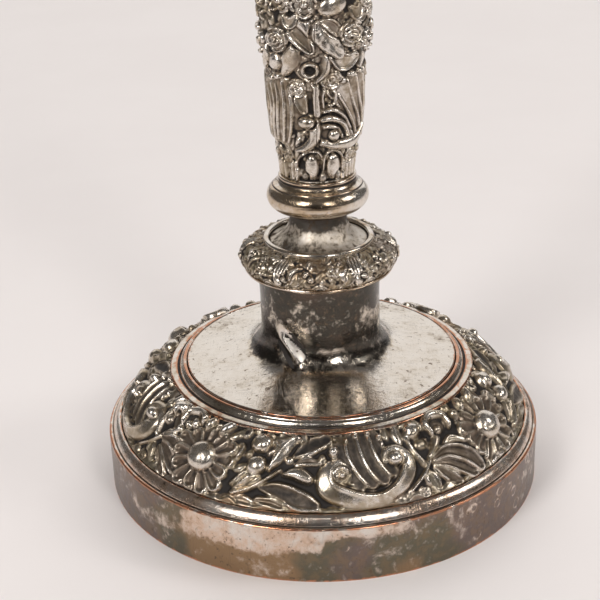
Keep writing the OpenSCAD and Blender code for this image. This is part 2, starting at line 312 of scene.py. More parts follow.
class Relief:
    """A flat drawing of heights in mm, and of how dark each place is, where above 0 is soiling and painted
    shade in hollows and on low ground, and below 0 is smooth bronze. x runs round and wraps, y runs up the
    profile."""

    moat = 0.34  # mm of groove round each form

    def __init__(self, width, height, step, ground):
        self.nx, self.ny = int(round(width / step)), int(round(height / step)) + 1
        self.width, self.height, self.ground = width, height, ground
        self.dx, self.dy = width / self.nx, height / (self.ny - 1)
        self.h = np.full((self.ny, self.nx), ground, np.float32)
        self.dark = np.zeros_like(self.h)

    def window(self, lo, hi):
        """The part of the grid between two corners, with its coordinates, or None."""
        j = np.arange(math.floor(lo[0] / self.dx), math.ceil(hi[0] / self.dx) + 1)
        i = np.arange(max(0, math.floor(lo[1] / self.dy)), min(self.ny - 1, math.ceil(hi[1] / self.dy)) + 1)
        if len(i) == 0:
            return None
        return np.ix_(i, j % self.nx), *np.meshgrid(j * self.dx, i * self.dy)

    def dig(self, where, around, high):
        """The groove that sets a form off from what it lies on."""
        now = self.h[where]
        self.h[where] = np.where(around, np.minimum(now, self.ground + high * 0.18), now)

    def lay(self, where, value, inside, over, dark):
        """Add heights inside a form: all of them if over, else only those that rise above what is there."""
        now = self.h[where]
        value = value.astype(np.float32)
        on = inside & ((value > now) | over)
        self.h[where] = np.where(on, value, now)
        self.dark[where] = np.where(on, dark, self.dark[where])

    def ribbon(self, points, half, high, shape=rounded, over=False, n=18, dark=0.0):
        """A raised shape that follows a line. half and high are its half width and height along it."""
        p = smooth_line(points, n)
        t = np.linspace(0, 1, n)
        half = np.atleast_1d(np.array(half, float))
        high = np.atleast_1d(np.array(high, float))
        w = np.interp(t, np.linspace(0, 1, len(half)), half) if len(half) > 1 else np.full(n, half[0])
        g = np.interp(t, np.linspace(0, 1, len(high)), high) if len(high) > 1 else np.full(n, high[0])
        m = w.max() + self.moat
        found = self.window(p.min(0) - m, p.max(0) + m)
        if found is None:
            return
        where, X, Y = found
        best = np.full(X.shape, 9.0)
        beside = np.full(X.shape, 9.0)
        at = np.zeros(X.shape)
        left = np.zeros(X.shape)
        for k in range(n - 1):
            d = p[k + 1] - p[k]
            u = np.clip(((X - p[k, 0]) * d[0] + (Y - p[k, 1]) * d[1]) / (d @ d + 1e-9), 0, 1)
            wide = w[k] + u * (w[k + 1] - w[k]) + 1e-6
            away = np.hypot(X - p[k, 0] - u * d[0], Y - p[k, 1] - u * d[1])
            q = away / wide
            beside = np.minimum(beside, away - wide)
            near = q < best
            best = np.where(near, q, best)
            at = np.where(near, (k + u) / (n - 1), at)
            across = (d[0] * (Y - p[k, 1]) - d[1] * (X - p[k, 0])) / (math.hypot(*d) * w[k] + 1e-6)
            left = np.where(near, across, left)
        inside = best < 1
        q = np.minimum(best, 1)
        if over:
            self.dig(where, ~inside & (beside < self.moat), g.mean())
        value = self.ground + np.interp(at, t, g) * shape(q, at, np.clip(left, -1, 1))
        self.lay(where, value, inside, over, dark * np.clip(1 - (q / 0.8) ** 4, 0, 1))

    def dome(self, x, y, a, b, high, turn=0.0, swirl=0.0, dots=0.0, over=True, dark=0.0):
        """A round or oval boss."""
        m = max(a, b) + self.moat
        found = self.window((x - m, y - m), (x + m, y + m))
        if found is None:
            return
        where, X, Y = found
        c, s = math.cos(turn), math.sin(turn)
        u, v = ((X - x) * c + (Y - y) * s) / a, (-(X - x) * s + (Y - y) * c) / b
        q = np.hypot(u, v)
        phi = np.arctan2(v, u)
        value = high * (0.25 + 0.75 * np.sqrt(np.clip(1 - q**2.2, 0, 1)))
        value = value - swirl * np.clip(np.cos(3 * phi + q * 5.0), 0, 1) ** 2 * np.clip(q * 2, 0, 1)
        value = value - dots * np.clip(np.sin(u * 13) * np.sin(v * 13), 0, 1)
        if over:
            self.dig(where, (q >= 1) & (q < 1 + self.moat / min(a, b)), high)
        self.lay(where, self.ground + value, q < 1, over, dark)

    # -- motifs: place each at (x, y), with its size in mm

    def berry(self, x, y, r, high=None):
        self.dome(x, y, r, r, high or r * 0.85)

    def bud(self, x, y, r, angle, high, tail=2.2):
        """A teardrop bud on three ribs."""
        d = np.array([math.cos(angle), math.sin(angle)])
        o = np.array([-d[1], d[0]])
        at = np.array([x, y])
        for k in (-0.6, 0.6, 0.0):
            side, back = o * k * r, d * r * tail
            self.ribbon([at + o * k * r * 0.6, at - d * r * tail * 0.6 + side, at - back + o * k * r * 1.1],
                        [r * 0.5, r * 0.42, r * 0.16], [high * 0.8, high * 0.6], over=k == 0)
        self.dome(x, y, r * 1.15, r * 0.92, high, angle)

    def leaf(self, x, y, long, wide, angle, high, bend=0.25, shape=veined, over=True, dark=0.0):
        d = np.array([math.cos(angle), math.sin(angle)])
        o = np.array([-d[1], d[0]])
        a = np.array([x, y])
        self.ribbon([a - d * long / 2, a + o * bend * long * 0.3, a + d * long / 2],
                    [wide * 0.25, wide * 0.8, wide, wide * 0.8, wide * 0.2], [high * 0.7, high, high * 0.8],
                    shape, over, dark=dark)

    def daisy(self, x, y, core, r, petals, high, start=0.0):
        c = np.array([x, y])
        self.dome(x, y, r * 0.9, r * 0.9, high * 0.25, dark=0.5)
        for k in range(petals):
            a = start + TAU * k / petals
            d = np.array([math.cos(a), math.sin(a)])
            far = r * (1 + 0.08 * math.sin(k * 2.3)) - math.pi * r / petals
            self.ribbon([c + d * core * 0.8, c + d * far],
                        [core * 2.6 / petals, r * 2.2 / petals, r * 2.9 / petals],
                        [high * 0.8, high * 0.9, high], cupped, over=True, n=7, dark=0.36)
        self.dome(x, y, core, core, high * 1.9, swirl=high * 0.12, dots=high * 0.05)

    def rose(self, x, y, r, high, start=0.0):
        """A ball of petals, each standing over the one inside it."""
        self.dome(x, y, r, r, high * 0.8)
        rows = ((0.72, 4, 0.86, 0.3), (0.46, 3, 0.98, 0.26), (0.2, 2, 1.08, 0.2))
        for turn, (f, n, lift, wide) in enumerate(rows):
            for k in range(n):
                a = start + turn * 0.9 + TAU * k / n
                pts = [(x + r * f * b * math.cos(a + t), y + r * f * b * math.sin(a + t)) for t, b in
                       zip(np.linspace(-0.66, 0.66, 5) * TAU / n, (0.86, 1.0, 1.05, 1.0, 0.82))]
                half = [r * wide * 0.3, r * wide, r * wide, r * wide * 0.25]
                self.ribbon(pts, half, high * lift, crest, True, n=10)

    def puff(self, x, y, r, high, lobes=4, start=0.0):
        """Fat petals, rolled over at their ends, round a button."""
        for k in range(lobes):
            a = start + TAU * k / lobes
            d, o = np.array([math.cos(a), math.sin(a)]), np.array([-math.sin(a), math.cos(a)])
            c = np.array([x, y]) + d * r * 0.5
            self.ribbon([c - d * r * 0.3, c + d * r * 0.1], [r * 0.26, r * 0.5], high * 0.9, dished, True, 6,
                        0.12)
            self.ribbon([c + d * r * 0.28 + o * r * 0.3, c + d * r * 0.44, c + d * r * 0.28 - o * r * 0.3],
                        r * 0.15, high * 1.05, rounded, True, 9)
        self.dome(x, y, r * 0.28, r * 0.28, high * 1.1)

    def ring(self, x, y, r, high):
        pts = [(x + r * math.cos(a), y + r * math.sin(a)) for a in np.linspace(0, TAU, 12)]
        self.dome(x, y, r * 0.9, r * 0.9, high * 0.4, dark=0.6)
        self.ribbon(pts, r * 0.36, high, rounded, True, 24)

    def volute(self, x, y, r, high, start, turns=1.4, way=1):
        """A ribbon wound in to a ball."""
        a = start + way * np.linspace(0, turns * TAU, 16)
        reach = r * np.linspace(1, 0.3, 16)
        self.dome(x, y, r * 1.1, r * 1.1, high * 0.4, dark=0.5)
        pts = [(x + q * math.cos(b), y + q * math.sin(b)) for b, q in zip(a, reach)]
        self.ribbon(pts, [r * 0.3, r * 0.26, r * 0.18], [high * 0.8, high, high], rounded, n=32)
        self.dome(x, y, r * 0.36, r * 0.36, high * 1.15)

    def fan(self, lines, high, rib=0.42, floor=0.4, dark=0.0, over=True):
        """Thin ribs with wide hollow channels between them."""
        lines = [np.array(line, float) for line in lines]
        for a, b in zip(lines, lines[1:]):
            u = np.linspace(0, 1, 7)[:, None]
            a7, b7 = smooth_line(a, 7), smooth_line(b, 7)
            gap = np.hypot(*(b7 - a7).T) / 2
            self.ribbon((a7 + b7) / 2, gap * 1.05 + 0.1, high * floor / 0.45, gutter, over, 14, dark)
        for line in lines:
            self.ribbon(line, [rib, rib * 1.1, rib * 0.8], [high, high, high * 0.8], rounded, n=20)

    def cover(self, seed, long, high, share=1.0):
        """An undergrowth of overlapping leaves."""
        rng = np.random.default_rng(seed)
        for _ in range(int(share * self.width * self.height / (long * long * 0.32))):
            x, y, a = rng.uniform(0, self.width), rng.uniform(0, self.height), rng.uniform(0, TAU)
            shape = (veined, folded, dished, rounded)[rng.integers(4)]
            size = long * rng.uniform(0.75, 1.25)
            self.leaf(x, y, size, size * rng.uniform(0.2, 0.3), a, high * rng.uniform(0.6, 1.0),
                      rng.uniform(-0.6, 0.6), shape)

    def fill(self, seed, largest, smallest, high, tries=220):
        """Leaves, buds and berries wherever there is room on the ground."""
        rng = np.random.default_rng(seed)
        r = largest
        while r > smallest:
            bare = (self.h <= self.ground + 0.1).astype(np.float32)
            k = max(1, int(r * 0.8 / self.dx))
            room = blur_line(blur_line(bare, k).T, k, wrap=True).T
            ys, xs = np.nonzero(room > 0.86)
            for m in rng.permutation(len(xs))[: int(tries / r)]:
                i, j = ys[m], xs[m]
                reach = max(1, int(r * 0.9 / self.dx))
                rows = slice(max(0, i - reach), i + reach + 1)
                nearby = self.h[rows, np.arange(j - reach, j + reach + 1) % self.nx]
                if (nearby > self.ground + 0.1).mean() > 0.16:
                    continue
                x, y, a, pick = j * self.dx, i * self.dy, rng.uniform(0, TAU), rng.uniform()
                f = high * rng.uniform(0.65, 1.0)
                if pick < 0.6:
                    self.leaf(x, y, r * 2.9, r * 0.85, a, f, shape=dished if pick < 0.2 else folded)
                elif pick < 0.85:
                    self.bud(x, y, r * 0.8, a, f, 1.6)
                else:
                    self.berry(x, y, r * 0.85, min(f, r))
            r *= 0.8

    def settle(self, worn=1, grain=0.05, seed=3, passes=1):
        """The drawing softened by wear, with a stippled ground."""
        rng = np.random.default_rng(seed)
        h = self.h.astype(float)
        low = np.clip(1 - (h - self.ground) / 0.25, 0, 1)
        pits = blur_line(blur_line(rng.normal(size=h.shape), 1).T, 1, wrap=True).T
        h = h + low * pits * grain * 3
        for _ in range(passes):
            h = blur_line(blur_line(h, worn).T, worn, wrap=True).T
        return h


class Stencil:
    """Draws on a relief at places given in degrees round it and mm up it, from a start of its own, each
    moved a little at random if loose is above 0."""

    def __init__(self, relief, radius, start, loose=0.0, seed=0):
        self.relief, self.start, self.loose = relief, start, loose
        self.scale = radius * math.pi / 180
        self.rng = np.random.default_rng(seed)

    def place(self, points):
        dx, dy = self.start + self.rng.normal() * self.loose, self.rng.normal() * self.loose * 0.4
        return [((x + dx) * self.scale, y + dy) for x, y in points]

    def line(self, points, half, high, **more):
        """A ribbon where nothing higher is in its way."""
        self.relief.ribbon(self.place(points), half, high, **more)

    def lay(self, points, half, high, shape=rounded, **more):
        """A ribbon over what is there."""
        self.relief.ribbon(self.place(points), half, high, shape, True, **more)

    def fan(self, lines, *rest):
        self.relief.fan([self.place(points) for points in lines], *rest)

    def put(self, motif, x, y, *rest, **more):
        motif(*self.place([(x, y)])[0], *rest, **more)


def pressed(name, profile, relief, node, material, depth=0.0, body="stick", cuts=1, fade=0.6, spread=1.0,
            seam=None, back=0.35, seed=3, worn=1, film=0.35, occlusion_shade_gain=1.3, passes=1):
    """A sheet with a relief pressed into it, cut into equal sectors, as closed shells. depth is where its
    two ends lie, fade how far they reach, spread how wide a hollow is before it counts as open ground, and
    seam the places round it where two halves meet."""
    h = relief.settle(worn, seed=seed, passes=passes)
    p = even(profile, relief.dy)
    s = lengths(p)
    line = np.column_stack([np.interp(np.linspace(0, s[-1], relief.ny), s, p[:, k]) for k in (0, 1)])
    n = blur_line(normals(line), max(1, int(0.8 / relief.dy)))
    n /= np.hypot(*n.T)[:, None]
    y = np.linspace(0, relief.height, relief.ny)[:, None]
    ease = np.clip(np.minimum(y, relief.height - y) / fade, 0, 1)
    ease = ease * ease * (3 - 2 * ease)
    h = h * ease + depth * (1 - ease)
    k = max(2, int(spread / relief.dx))
    around = blur_line(blur_line(h, k).T, k, wrap=True).T
    k = max(1, int(0.3 * spread / relief.dx))
    near = blur_line(blur_line(h, k).T, k, wrap=True).T
    span = np.percentile(h, 97) - relief.ground
    level = np.clip((h - relief.ground) / span, 0, 1)
    # painted shade: places lower than their neighbours, at the feet of forms and in narrow grooves, are
    # darkened as ambient occlusion; low ground, the drawing's dark hollows and the top edge, where the next
    # piece meets it, are darkened as soiling and painted shade
    tall = h
    for _ in range(max(1, int(0.32 / relief.dx))):
        tall = np.maximum(tall, np.maximum(np.roll(tall, 1, 1), np.roll(tall, -1, 1)))
        tall[1:-1] = np.maximum(tall[1:-1], np.maximum(tall[2:], tall[:-2]))
    painted_occlusion = np.clip((near - h) / (0.05 * span) + 0.35, 0, 1)
    painted_occlusion = painted_occlusion * np.clip((tall - h) / (0.30 * span) - 0.3, 0, 1)
    soiling_and_shade = np.clip((around - h) / (1.2 * span) - 0.08, 0, 1) + occlusion_shade_gain * painted_occlusion
    soiling_and_shade = soiling_and_shade + 0.95 * np.clip(1 - level / 0.25, 0, 1) + relief.dark * ease
    soiling_and_shade = np.clip(np.maximum(soiling_and_shade, (1 - ease) * 0.4 * (relief.height - y < 0.3)), 0, 1)
    bronze = np.clip(-relief.dark, 0, 1) * (level < 0.72)
    proud = np.clip((h - near) / (0.1 * span), 0, 1)
    stain = np.clip(film + 0.55 * (0.8 - level) - 0.25 * proud + 0.3 * bronze, 0, 1)
    wear = np.clip((h - around) / (0.5 * span) + (h - near) / (0.2 * span) - 0.55, 0, 1)
    if seam is not None:
        x = np.arange(relief.nx) * relief.dx
        for at in seam:
            d = np.abs((x - at + relief.width / 2) % relief.width - relief.width / 2)[None]
            gap = np.exp(-((d / 0.16) ** 2))
            h = h - 0.16 * gap
            soiling_and_shade = np.maximum(soiling_and_shade, gap * 0.55)
    r = line[:, :1] + h * n[:, :1]
    z = line[:, 1:] + h * n[:, 1:]
    inner = [0, relief.ny // 3, 2 * relief.ny // 3, relief.ny - 1][::-1]
    made = []
    per = relief.nx // cuts
    for c in range(cuts):
        last = (c + 1) * per if c < cuts - 1 else relief.nx
        cols = np.arange(c * per, last + (cuts > 1)) % relief.nx
        theta = (cols * TAU / relief.nx)[None]
        drop = relief.ground - back
        ri = (line[inner, :1] + drop * n[inner, :1]) + 0 * theta
        zi = (line[inner, 1:] + drop * n[inner, 1:]) + 0 * theta
        co = np.vstack([spun(r[:, cols], z[:, cols], theta), spun(ri, zi, theta)])
        blank = np.zeros((len(inner), len(cols)))
        fields = {"wear": np.vstack([wear[:, cols], blank]), "soiling_and_shade": np.vstack([soiling_and_shade[:, cols], blank + 0.9]),
                  "film": np.vstack([stain[:, cols], blank]),
                  "tone": np.full((relief.ny + len(inner), len(cols)), 0.5)}
        quads = grid_quads(relief.ny + len(inner), len(cols), True, cuts == 1)
        ob = mesh_from(name if cuts == 1 else f"{name}.{c + 1}", co, quads, fields)
        made.append(finish_piece(ob, material, node if isinstance(node, list) else [node], body))
    return made


# ---------------------------------------------------------------- materials


class Tree:
    """A material's nodes, written as short calls."""

    def __init__(self, name):
        self.mat = bpy.data.materials.new(name)
        self.mat.use_nodes = True
        self.nt = self.mat.node_tree
        self.nt.nodes.clear()
        self.out = self.nt.nodes.new("ShaderNodeOutputMaterial")
        self.bsdf = self.nt.nodes.new("ShaderNodeBsdfPrincipled")
        self.nt.links.new(self.bsdf.outputs[0], self.out.inputs[0])
        self.co = self.nt.nodes.new("ShaderNodeTexCoord").outputs["Object"]

    def put(self, socket, value):
        if isinstance(value, bpy.types.NodeSocket):
            self.nt.links.new(value, socket)
        else:
            socket.default_value = value

    def math(self, op, a, b=0.0, c=0.0, clamp=False):
        n = self.nt.nodes.new("ShaderNodeMath")
        n.operation, n.use_clamp = op, clamp
        for k, v in enumerate((a, b, c)):
            self.put(n.inputs[k], v)
        return n.outputs[0]

    def add(self, a, b):
        return self.math("ADD", a, b)

    def sub(self, a, b):
        return self.math("SUBTRACT", a, b)

    def mul(self, a, b):
        return self.math("MULTIPLY", a, b)

    def step(self, value, lo, hi, a=0.0, b=1.0):
        """a below lo, b above hi and a smooth change between them."""
        n = self.nt.nodes.new("ShaderNodeMapRange")
        n.interpolation_type = "SMOOTHSTEP"
        for k, v in zip(("Value", "From Min", "From Max", "To Min", "To Max"), (value, lo, hi, a, b)):
            self.put(n.inputs[k], v)
        return n.outputs[0]

    def field(self, name):
        n = self.nt.nodes.new("ShaderNodeAttribute")
        n.attribute_name = name
        return n.outputs["Fac"]

    def noise(self, scale, detail=5.0, rough=0.55, stretch=None, turn=None, warp=0.0):
        co = self.co
        if stretch is not None or turn is not None:
            m = self.nt.nodes.new("ShaderNodeMapping")
            self.put(m.inputs["Vector"], co)
            if stretch is not None:
                m.inputs["Scale"].default_value = stretch
            if turn is not None:
                m.inputs["Rotation"].default_value = turn
            co = m.outputs[0]
        n = self.nt.nodes.new("ShaderNodeTexNoise")
        self.put(n.inputs["Vector"], co)
        n.inputs["Scale"].default_value = scale
        n.inputs["Detail"].default_value = detail
        n.inputs["Roughness"].default_value = rough
        n.inputs["Distortion"].default_value = warp
        return n.outputs["Fac"]

    def cells(self, scale):
        """How far each place is from the nearest of a scatter of points."""
        n = self.nt.nodes.new("ShaderNodeTexVoronoi")
        self.put(n.inputs["Vector"], self.co)
        n.inputs["Scale"].default_value = scale
        return n.outputs["Distance"]

    def mix(self, fac, a, b):
        n = self.nt.nodes.new("ShaderNodeMix")
        n.data_type = "RGBA"
        self.put(n.inputs[0], fac)
        for k, v in ((6, a), (7, b)):
            self.put(n.inputs[k], (*v, 1.0) if isinstance(v, tuple) and len(v) == 3 else v)
        return n.outputs[2]

    def bump(self, height, strength, distance):
        n = self.nt.nodes.new("ShaderNodeBump")
        self.put(n.inputs["Height"], height)
        n.inputs["Strength"].default_value = strength
        n.inputs["Distance"].default_value = distance
        self.put(self.bsdf.inputs["Normal"], n.outputs[0])


SILVER = (0.78, 0.73, 0.67)
GOLDEN = (0.50, 0.40, 0.27)
BROWN = (0.17, 0.125, 0.09)
GREY = (0.22, 0.205, 0.195)
BLACK = (0.022, 0.018, 0.016)
COPPER = (0.60, 0.28, 0.16)
FILMS = ((0.105, 0.10, 0.075), (0.27, 0.185, 0.11), (0.16, 0.13, 0.125))  # olive, golden brown, grey
SCRATCHES = (((1, 34, 1), (0, 0, 0.5)), ((34, 1, 1), (0, 0.2, 1.1)),  # stretch and turn of each set
             ((1, 30, 30), (0.4, 0, -0.8)), ((30, 1, 30), (0.9, 0.3, 0.3)))


def plate(name, patches=0.5, golden=0.3, copper=1.0, rough=0.17, freckles=0.5, scratches=0.5,
          patch_scale=45.0, rings=0.0, films=FILMS, edge=0.16, gold=GOLDEN, opaque=0.92, ragged=2.4):
    """Silver plate. The piece says where it has a film of tarnish, where soiling and painted shade lie and
    where it is worn; noise breaks these up, and adds patches, freckles, pale rings and fine scratches."""
    t = Tree(name)
    soiling_and_shade, wear, film, tone = (t.field(key) for key in ("soiling_and_shade", "wear", "film", "tone"))
    big = t.noise(patch_scale, 6.0, 0.6, warp=0.4)
    mid = t.noise(patch_scale * 5.1, 5.0, 0.62, warp=0.3)
    fine = t.noise(1500.0, 3.0, 0.6)
    speck = t.noise(560.0, 4.0, 0.7)
    mottle = t.add(t.mul(big, 0.6), t.mul(mid, 0.4))
    colour = t.mix(t.mul(t.step(mottle, 0.40, 0.60), golden), SILVER, gold)

    # the film, first as a golden tint where it is thin
    veil = t.add(film, t.mul(t.sub(mottle, 0.5), ragged))
    if rings:
        ring = t.step(t.math("ABSOLUTE", t.sub(t.cells(210.0), 0.34)), 0.02, 0.12, 1.0, 0.0)
        ring = t.mul(ring, t.step(t.noise(22.0, 1.0, 0.5), 0.58, 0.64))
        veil = t.sub(veil, t.mul(ring, rings))
    colour = t.mix(t.mul(t.step(veil, 0.12, 0.5), 0.45), colour, gold)
    veil = t.step(veil, 0.52 - edge, 0.52 + edge)
    hue = t.add(t.mul(t.noise(patch_scale * 0.45, 3.0, 0.5), 0.7), t.sub(tone, 0.35))
    shade = t.mix(t.step(hue, 0.40, 0.47), films[1], films[0])
    shade = t.mix(t.step(hue, 0.53, 0.60), shade, films[2])
    shade = t.mix(t.mul(t.step(mid, 0.44, 0.62), 0.35), shade, films[1])
    colour = t.mix(t.mul(veil, opaque), colour, shade)

    # patches and freckles
    patch = t.step(mottle, 0.60 - 0.16 * patches, 0.68 - 0.12 * patches)
    patch = t.mul(patch, min(1.0, patches * 1.3))
    colour = t.mix(t.mul(patch, 0.6), colour, t.mix(t.step(speck, 0.4, 0.6), GREY, BROWN))
    dots = t.mul(t.step(t.add(speck, t.mul(mottle, 0.3)), 0.74, 0.84), freckles)
    colour = t.mix(dots, colour, BROWN)

    # bare copper, then soiling and painted shade: brown, then black and less metallic
    bare = t.step(t.add(t.mul(wear, 0.9), t.mul(t.sub(mid, 0.5), 2.2)), 0.45, 1.0)
    bare = t.math("MULTIPLY", bare, t.mul(copper, t.step(wear, 0.1, 0.4)), clamp=True)
    colour = t.mix(bare, colour, COPPER)
    patchy_soiling_and_shade = t.add(soiling_and_shade, t.mul(t.sub(mid, 0.5), 0.5))
    warm = t.step(patchy_soiling_and_shade, 0.05, 0.45)
    black_soiling_and_shade = t.step(patchy_soiling_and_shade, 0.30, 0.75)
    colour = t.mix(t.mul(warm, 0.8), colour, BROWN)
    colour = t.mix(black_soiling_and_shade, colour, BLACK)

    height = t.sub(t.add(t.mul(mid, 0.5), t.mul(fine, 0.06)), t.mul(patch, 0.10))
    if scratches:
        for k, (stretch, turn) in enumerate(SCRATCHES):
            line = t.noise(36.0, 1.0, 0.4, stretch, turn)
            gap = t.step(t.noise(150.0 + 30 * k, 1.0, 0.5), 0.5, 0.58)
            cut = t.step(t.math("ABSOLUTE", t.sub(line, 0.5)), 0.0, 0.016, 1.0, 0.0)
            cut = t.mul(t.mul(cut, gap), scratches)
            height = t.sub(height, t.mul(cut, 0.08))
            colour = t.mix(t.mul(cut, 0.4), colour, BROWN)
    t.bump(height, 0.35, 0.0006)
    t.put(t.bsdf.inputs["Base Color"], colour)
    t.put(t.bsdf.inputs["Metallic"], t.sub(1.0, t.mul(black_soiling_and_shade, 0.7)))
    r = t.add(rough, t.mul(patch, 0.16))
    r = t.add(t.add(r, t.mul(veil, 0.10)), t.mul(warm, 0.10))
    r = t.add(t.add(r, t.mul(black_soiling_and_shade, 0.22)), t.step(film, 0.0, 0.05, 0.2, 0.0))
    t.put(t.bsdf.inputs["Roughness"], t.math("ADD", r, t.mul(t.sub(fine, 0.5), 0.16), clamp=True))
    return t.mat


def plain(name, colour, second, rough, metal, scale, depth=0.0003):
    """Two mottled colours and a grain, for what is hidden inside."""
    t = Tree(name)
    n = t.noise(scale, 6.0, 0.65)
    f = t.noise(scale * 9, 3.0, 0.6)
    t.put(t.bsdf.inputs["Base Color"], t.mix(t.step(n, 0.35, 0.65), colour, second))
    t.put(t.bsdf.inputs["Metallic"], metal)
    t.put(t.bsdf.inputs["Roughness"], t.add(rough - 0.1, t.mul(f, 0.2)))
    t.bump(f, 0.6, depth)
    return t.mat


M_RELIEF = plate("silver_relief", patches=0.1, golden=0.4, copper=0.12, rough=0.26, freckles=0.0,
                 scratches=0.0, patch_scale=70.0, edge=0.3,
                 films=((0.29, 0.25, 0.17), (0.40, 0.285, 0.18), (0.29, 0.245, 0.215)))
M_BAND = plate("silver_band", patches=0.35, golden=0.85, rough=0.22, freckles=1.0, scratches=0.6, rings=0.12,
               edge=0.12, patch_scale=60.0, ragged=1.7, gold=(0.70, 0.50, 0.37), opaque=0.95,
               films=((0.13, 0.125, 0.09), (0.31, 0.205, 0.115), (0.17, 0.135, 0.125)))
M_DOME = plate("silver_dome", patches=0.35, golden=0.2, rough=0.12, freckles=1.0, scratches=0.55,
               films=((0.035, 0.035, 0.031), (0.08, 0.056, 0.044), (0.05, 0.043, 0.042)), edge=0.1,
               patch_scale=75.0, opaque=0.94, ragged=2.0)
M_SPOOL = plate("silver_spool", patches=0.6, golden=0.2, copper=0.3, rough=0.5, freckles=1.0, scratches=0.3,
                films=((0.05, 0.046, 0.04), (0.11, 0.08, 0.06), (0.12, 0.11, 0.105)), patch_scale=110.0)
M_RING = plate("silver_ring", patches=0.2, golden=0.35, copper=0.9, rough=0.15, scratches=0.4)
M_TRIM = plate("silver_trim", patches=0.2, golden=0.6, copper=0.15, scratches=0.3)
M_KNOP = plate("silver_knop", patches=0.15, golden=1.0, copper=0.2, gold=(0.55, 0.43, 0.30), freckles=0.7,
               scratches=0.6)
M_IRON = plain("iron", (0.10, 0.09, 0.085), (0.16, 0.10, 0.07), 0.6, 0.7, 120.0)
M_PITCH = plain("pitch", (0.03, 0.02, 0.014), (0.06, 0.035, 0.02), 0.55, 0.0, 60.0)
M_FELT = plain("felt", (0.02, 0.07, 0.035), (0.035, 0.1, 0.05), 0.95, 0.0, 900.0, 0.0005)


# ---------------------------------------------------------------- foot

foot_r, _, band_h = size("foot_band")
border_r, border_z0, well_z = size("foot_border")
moulding_z = border_z0 + 0.6
ring_r = size("well_ring")[0]
dome_r, _, collar_z = size("foot_trumpet")
dome_z = well_z + 2.5
neck_r = size("collar_plate")[0] - 5

band = path([foot_r - 5, 0], [foot_r, 0], [foot_r, 0.5], [foot_r, band_h * 0.5],
            arc([foot_r - 0.7, band_h - 0.7], 0.7, 0, 90), [foot_r - 1.9, band_h])


def front_turn(theta):
    """An angle round the piece in radians, from -pi to pi with 0 at the front."""
    return (theta + math.pi) % TAU - math.pi


def band_film(theta, r, z):
    """Dark low down, with a ragged edge, and darker towards the sides; clearer along the top."""
    edge = 0.66 + 0.10 * np.sin(theta * 3 + 0.6) + 0.05 * np.sin(theta * 8)
    low = np.clip((edge + 0.16 * np.exp(-((theta / 0.5) ** 2)) - z / band_h) / 0.18, 0, 1)
    side = np.clip((np.abs(np.sin(theta / 2 + 0.10)) - 0.16) / 0.14, 0, 1)
    return np.where(z < band_h, 0.27 + 0.42 * np.maximum(low, side * 0.9), 0.2)


def band_tone(theta):
    """Grey to the left, golden brown left of the front, olive at the front and grey to the right."""
    return np.interp(np.degrees(front_turn(theta)), [-180, -60, -48, -34, -14, -4, 22, 40, 180],
                     [0.5, 0.62, 0.62, 0.36, 0.38, 0.5, 0.5, 0.64, 0.5])


lathe("foot_band", band, 0.6, M_BAND, seg=360, warp=waves(1, 0.10), end_soiling_and_shade=0.3, film=band_film, tone=band_tone,
      wear_gain=1.6, solid=np.array([[foot_r - 1.9, band_h - 0.6], [foot_r - 0.6, band_h - 1.3],
                                     [foot_r - 0.6, 0.6], [foot_r - 5, 0.6]]))

moulding = path(
    curve([foot_r - 1.3, band_h], [foot_r - 1.8, band_h + 1.3], [foot_r - 2.6, band_h + 2.7],
          [foot_r - 4.0, band_h + 3.1]),
    [border_r, moulding_z])
lathe("foot_moulding", moulding, 0.45, M_BAND, seg=360, warp=waves(2, 0.04), end_soiling_and_shade=0.1, film=0.36)

low_end, high_end = np.array([border_r, moulding_z]), np.array([ring_r, well_z])
bulge = np.array([2.3, 2.35])  # how far the border's line is drawn out of straight
rise = high_end - low_end
border = curve(low_end, low_end + rise / 3 + bulge, low_end + rise * 2 / 3 + bulge, high_end, 80)


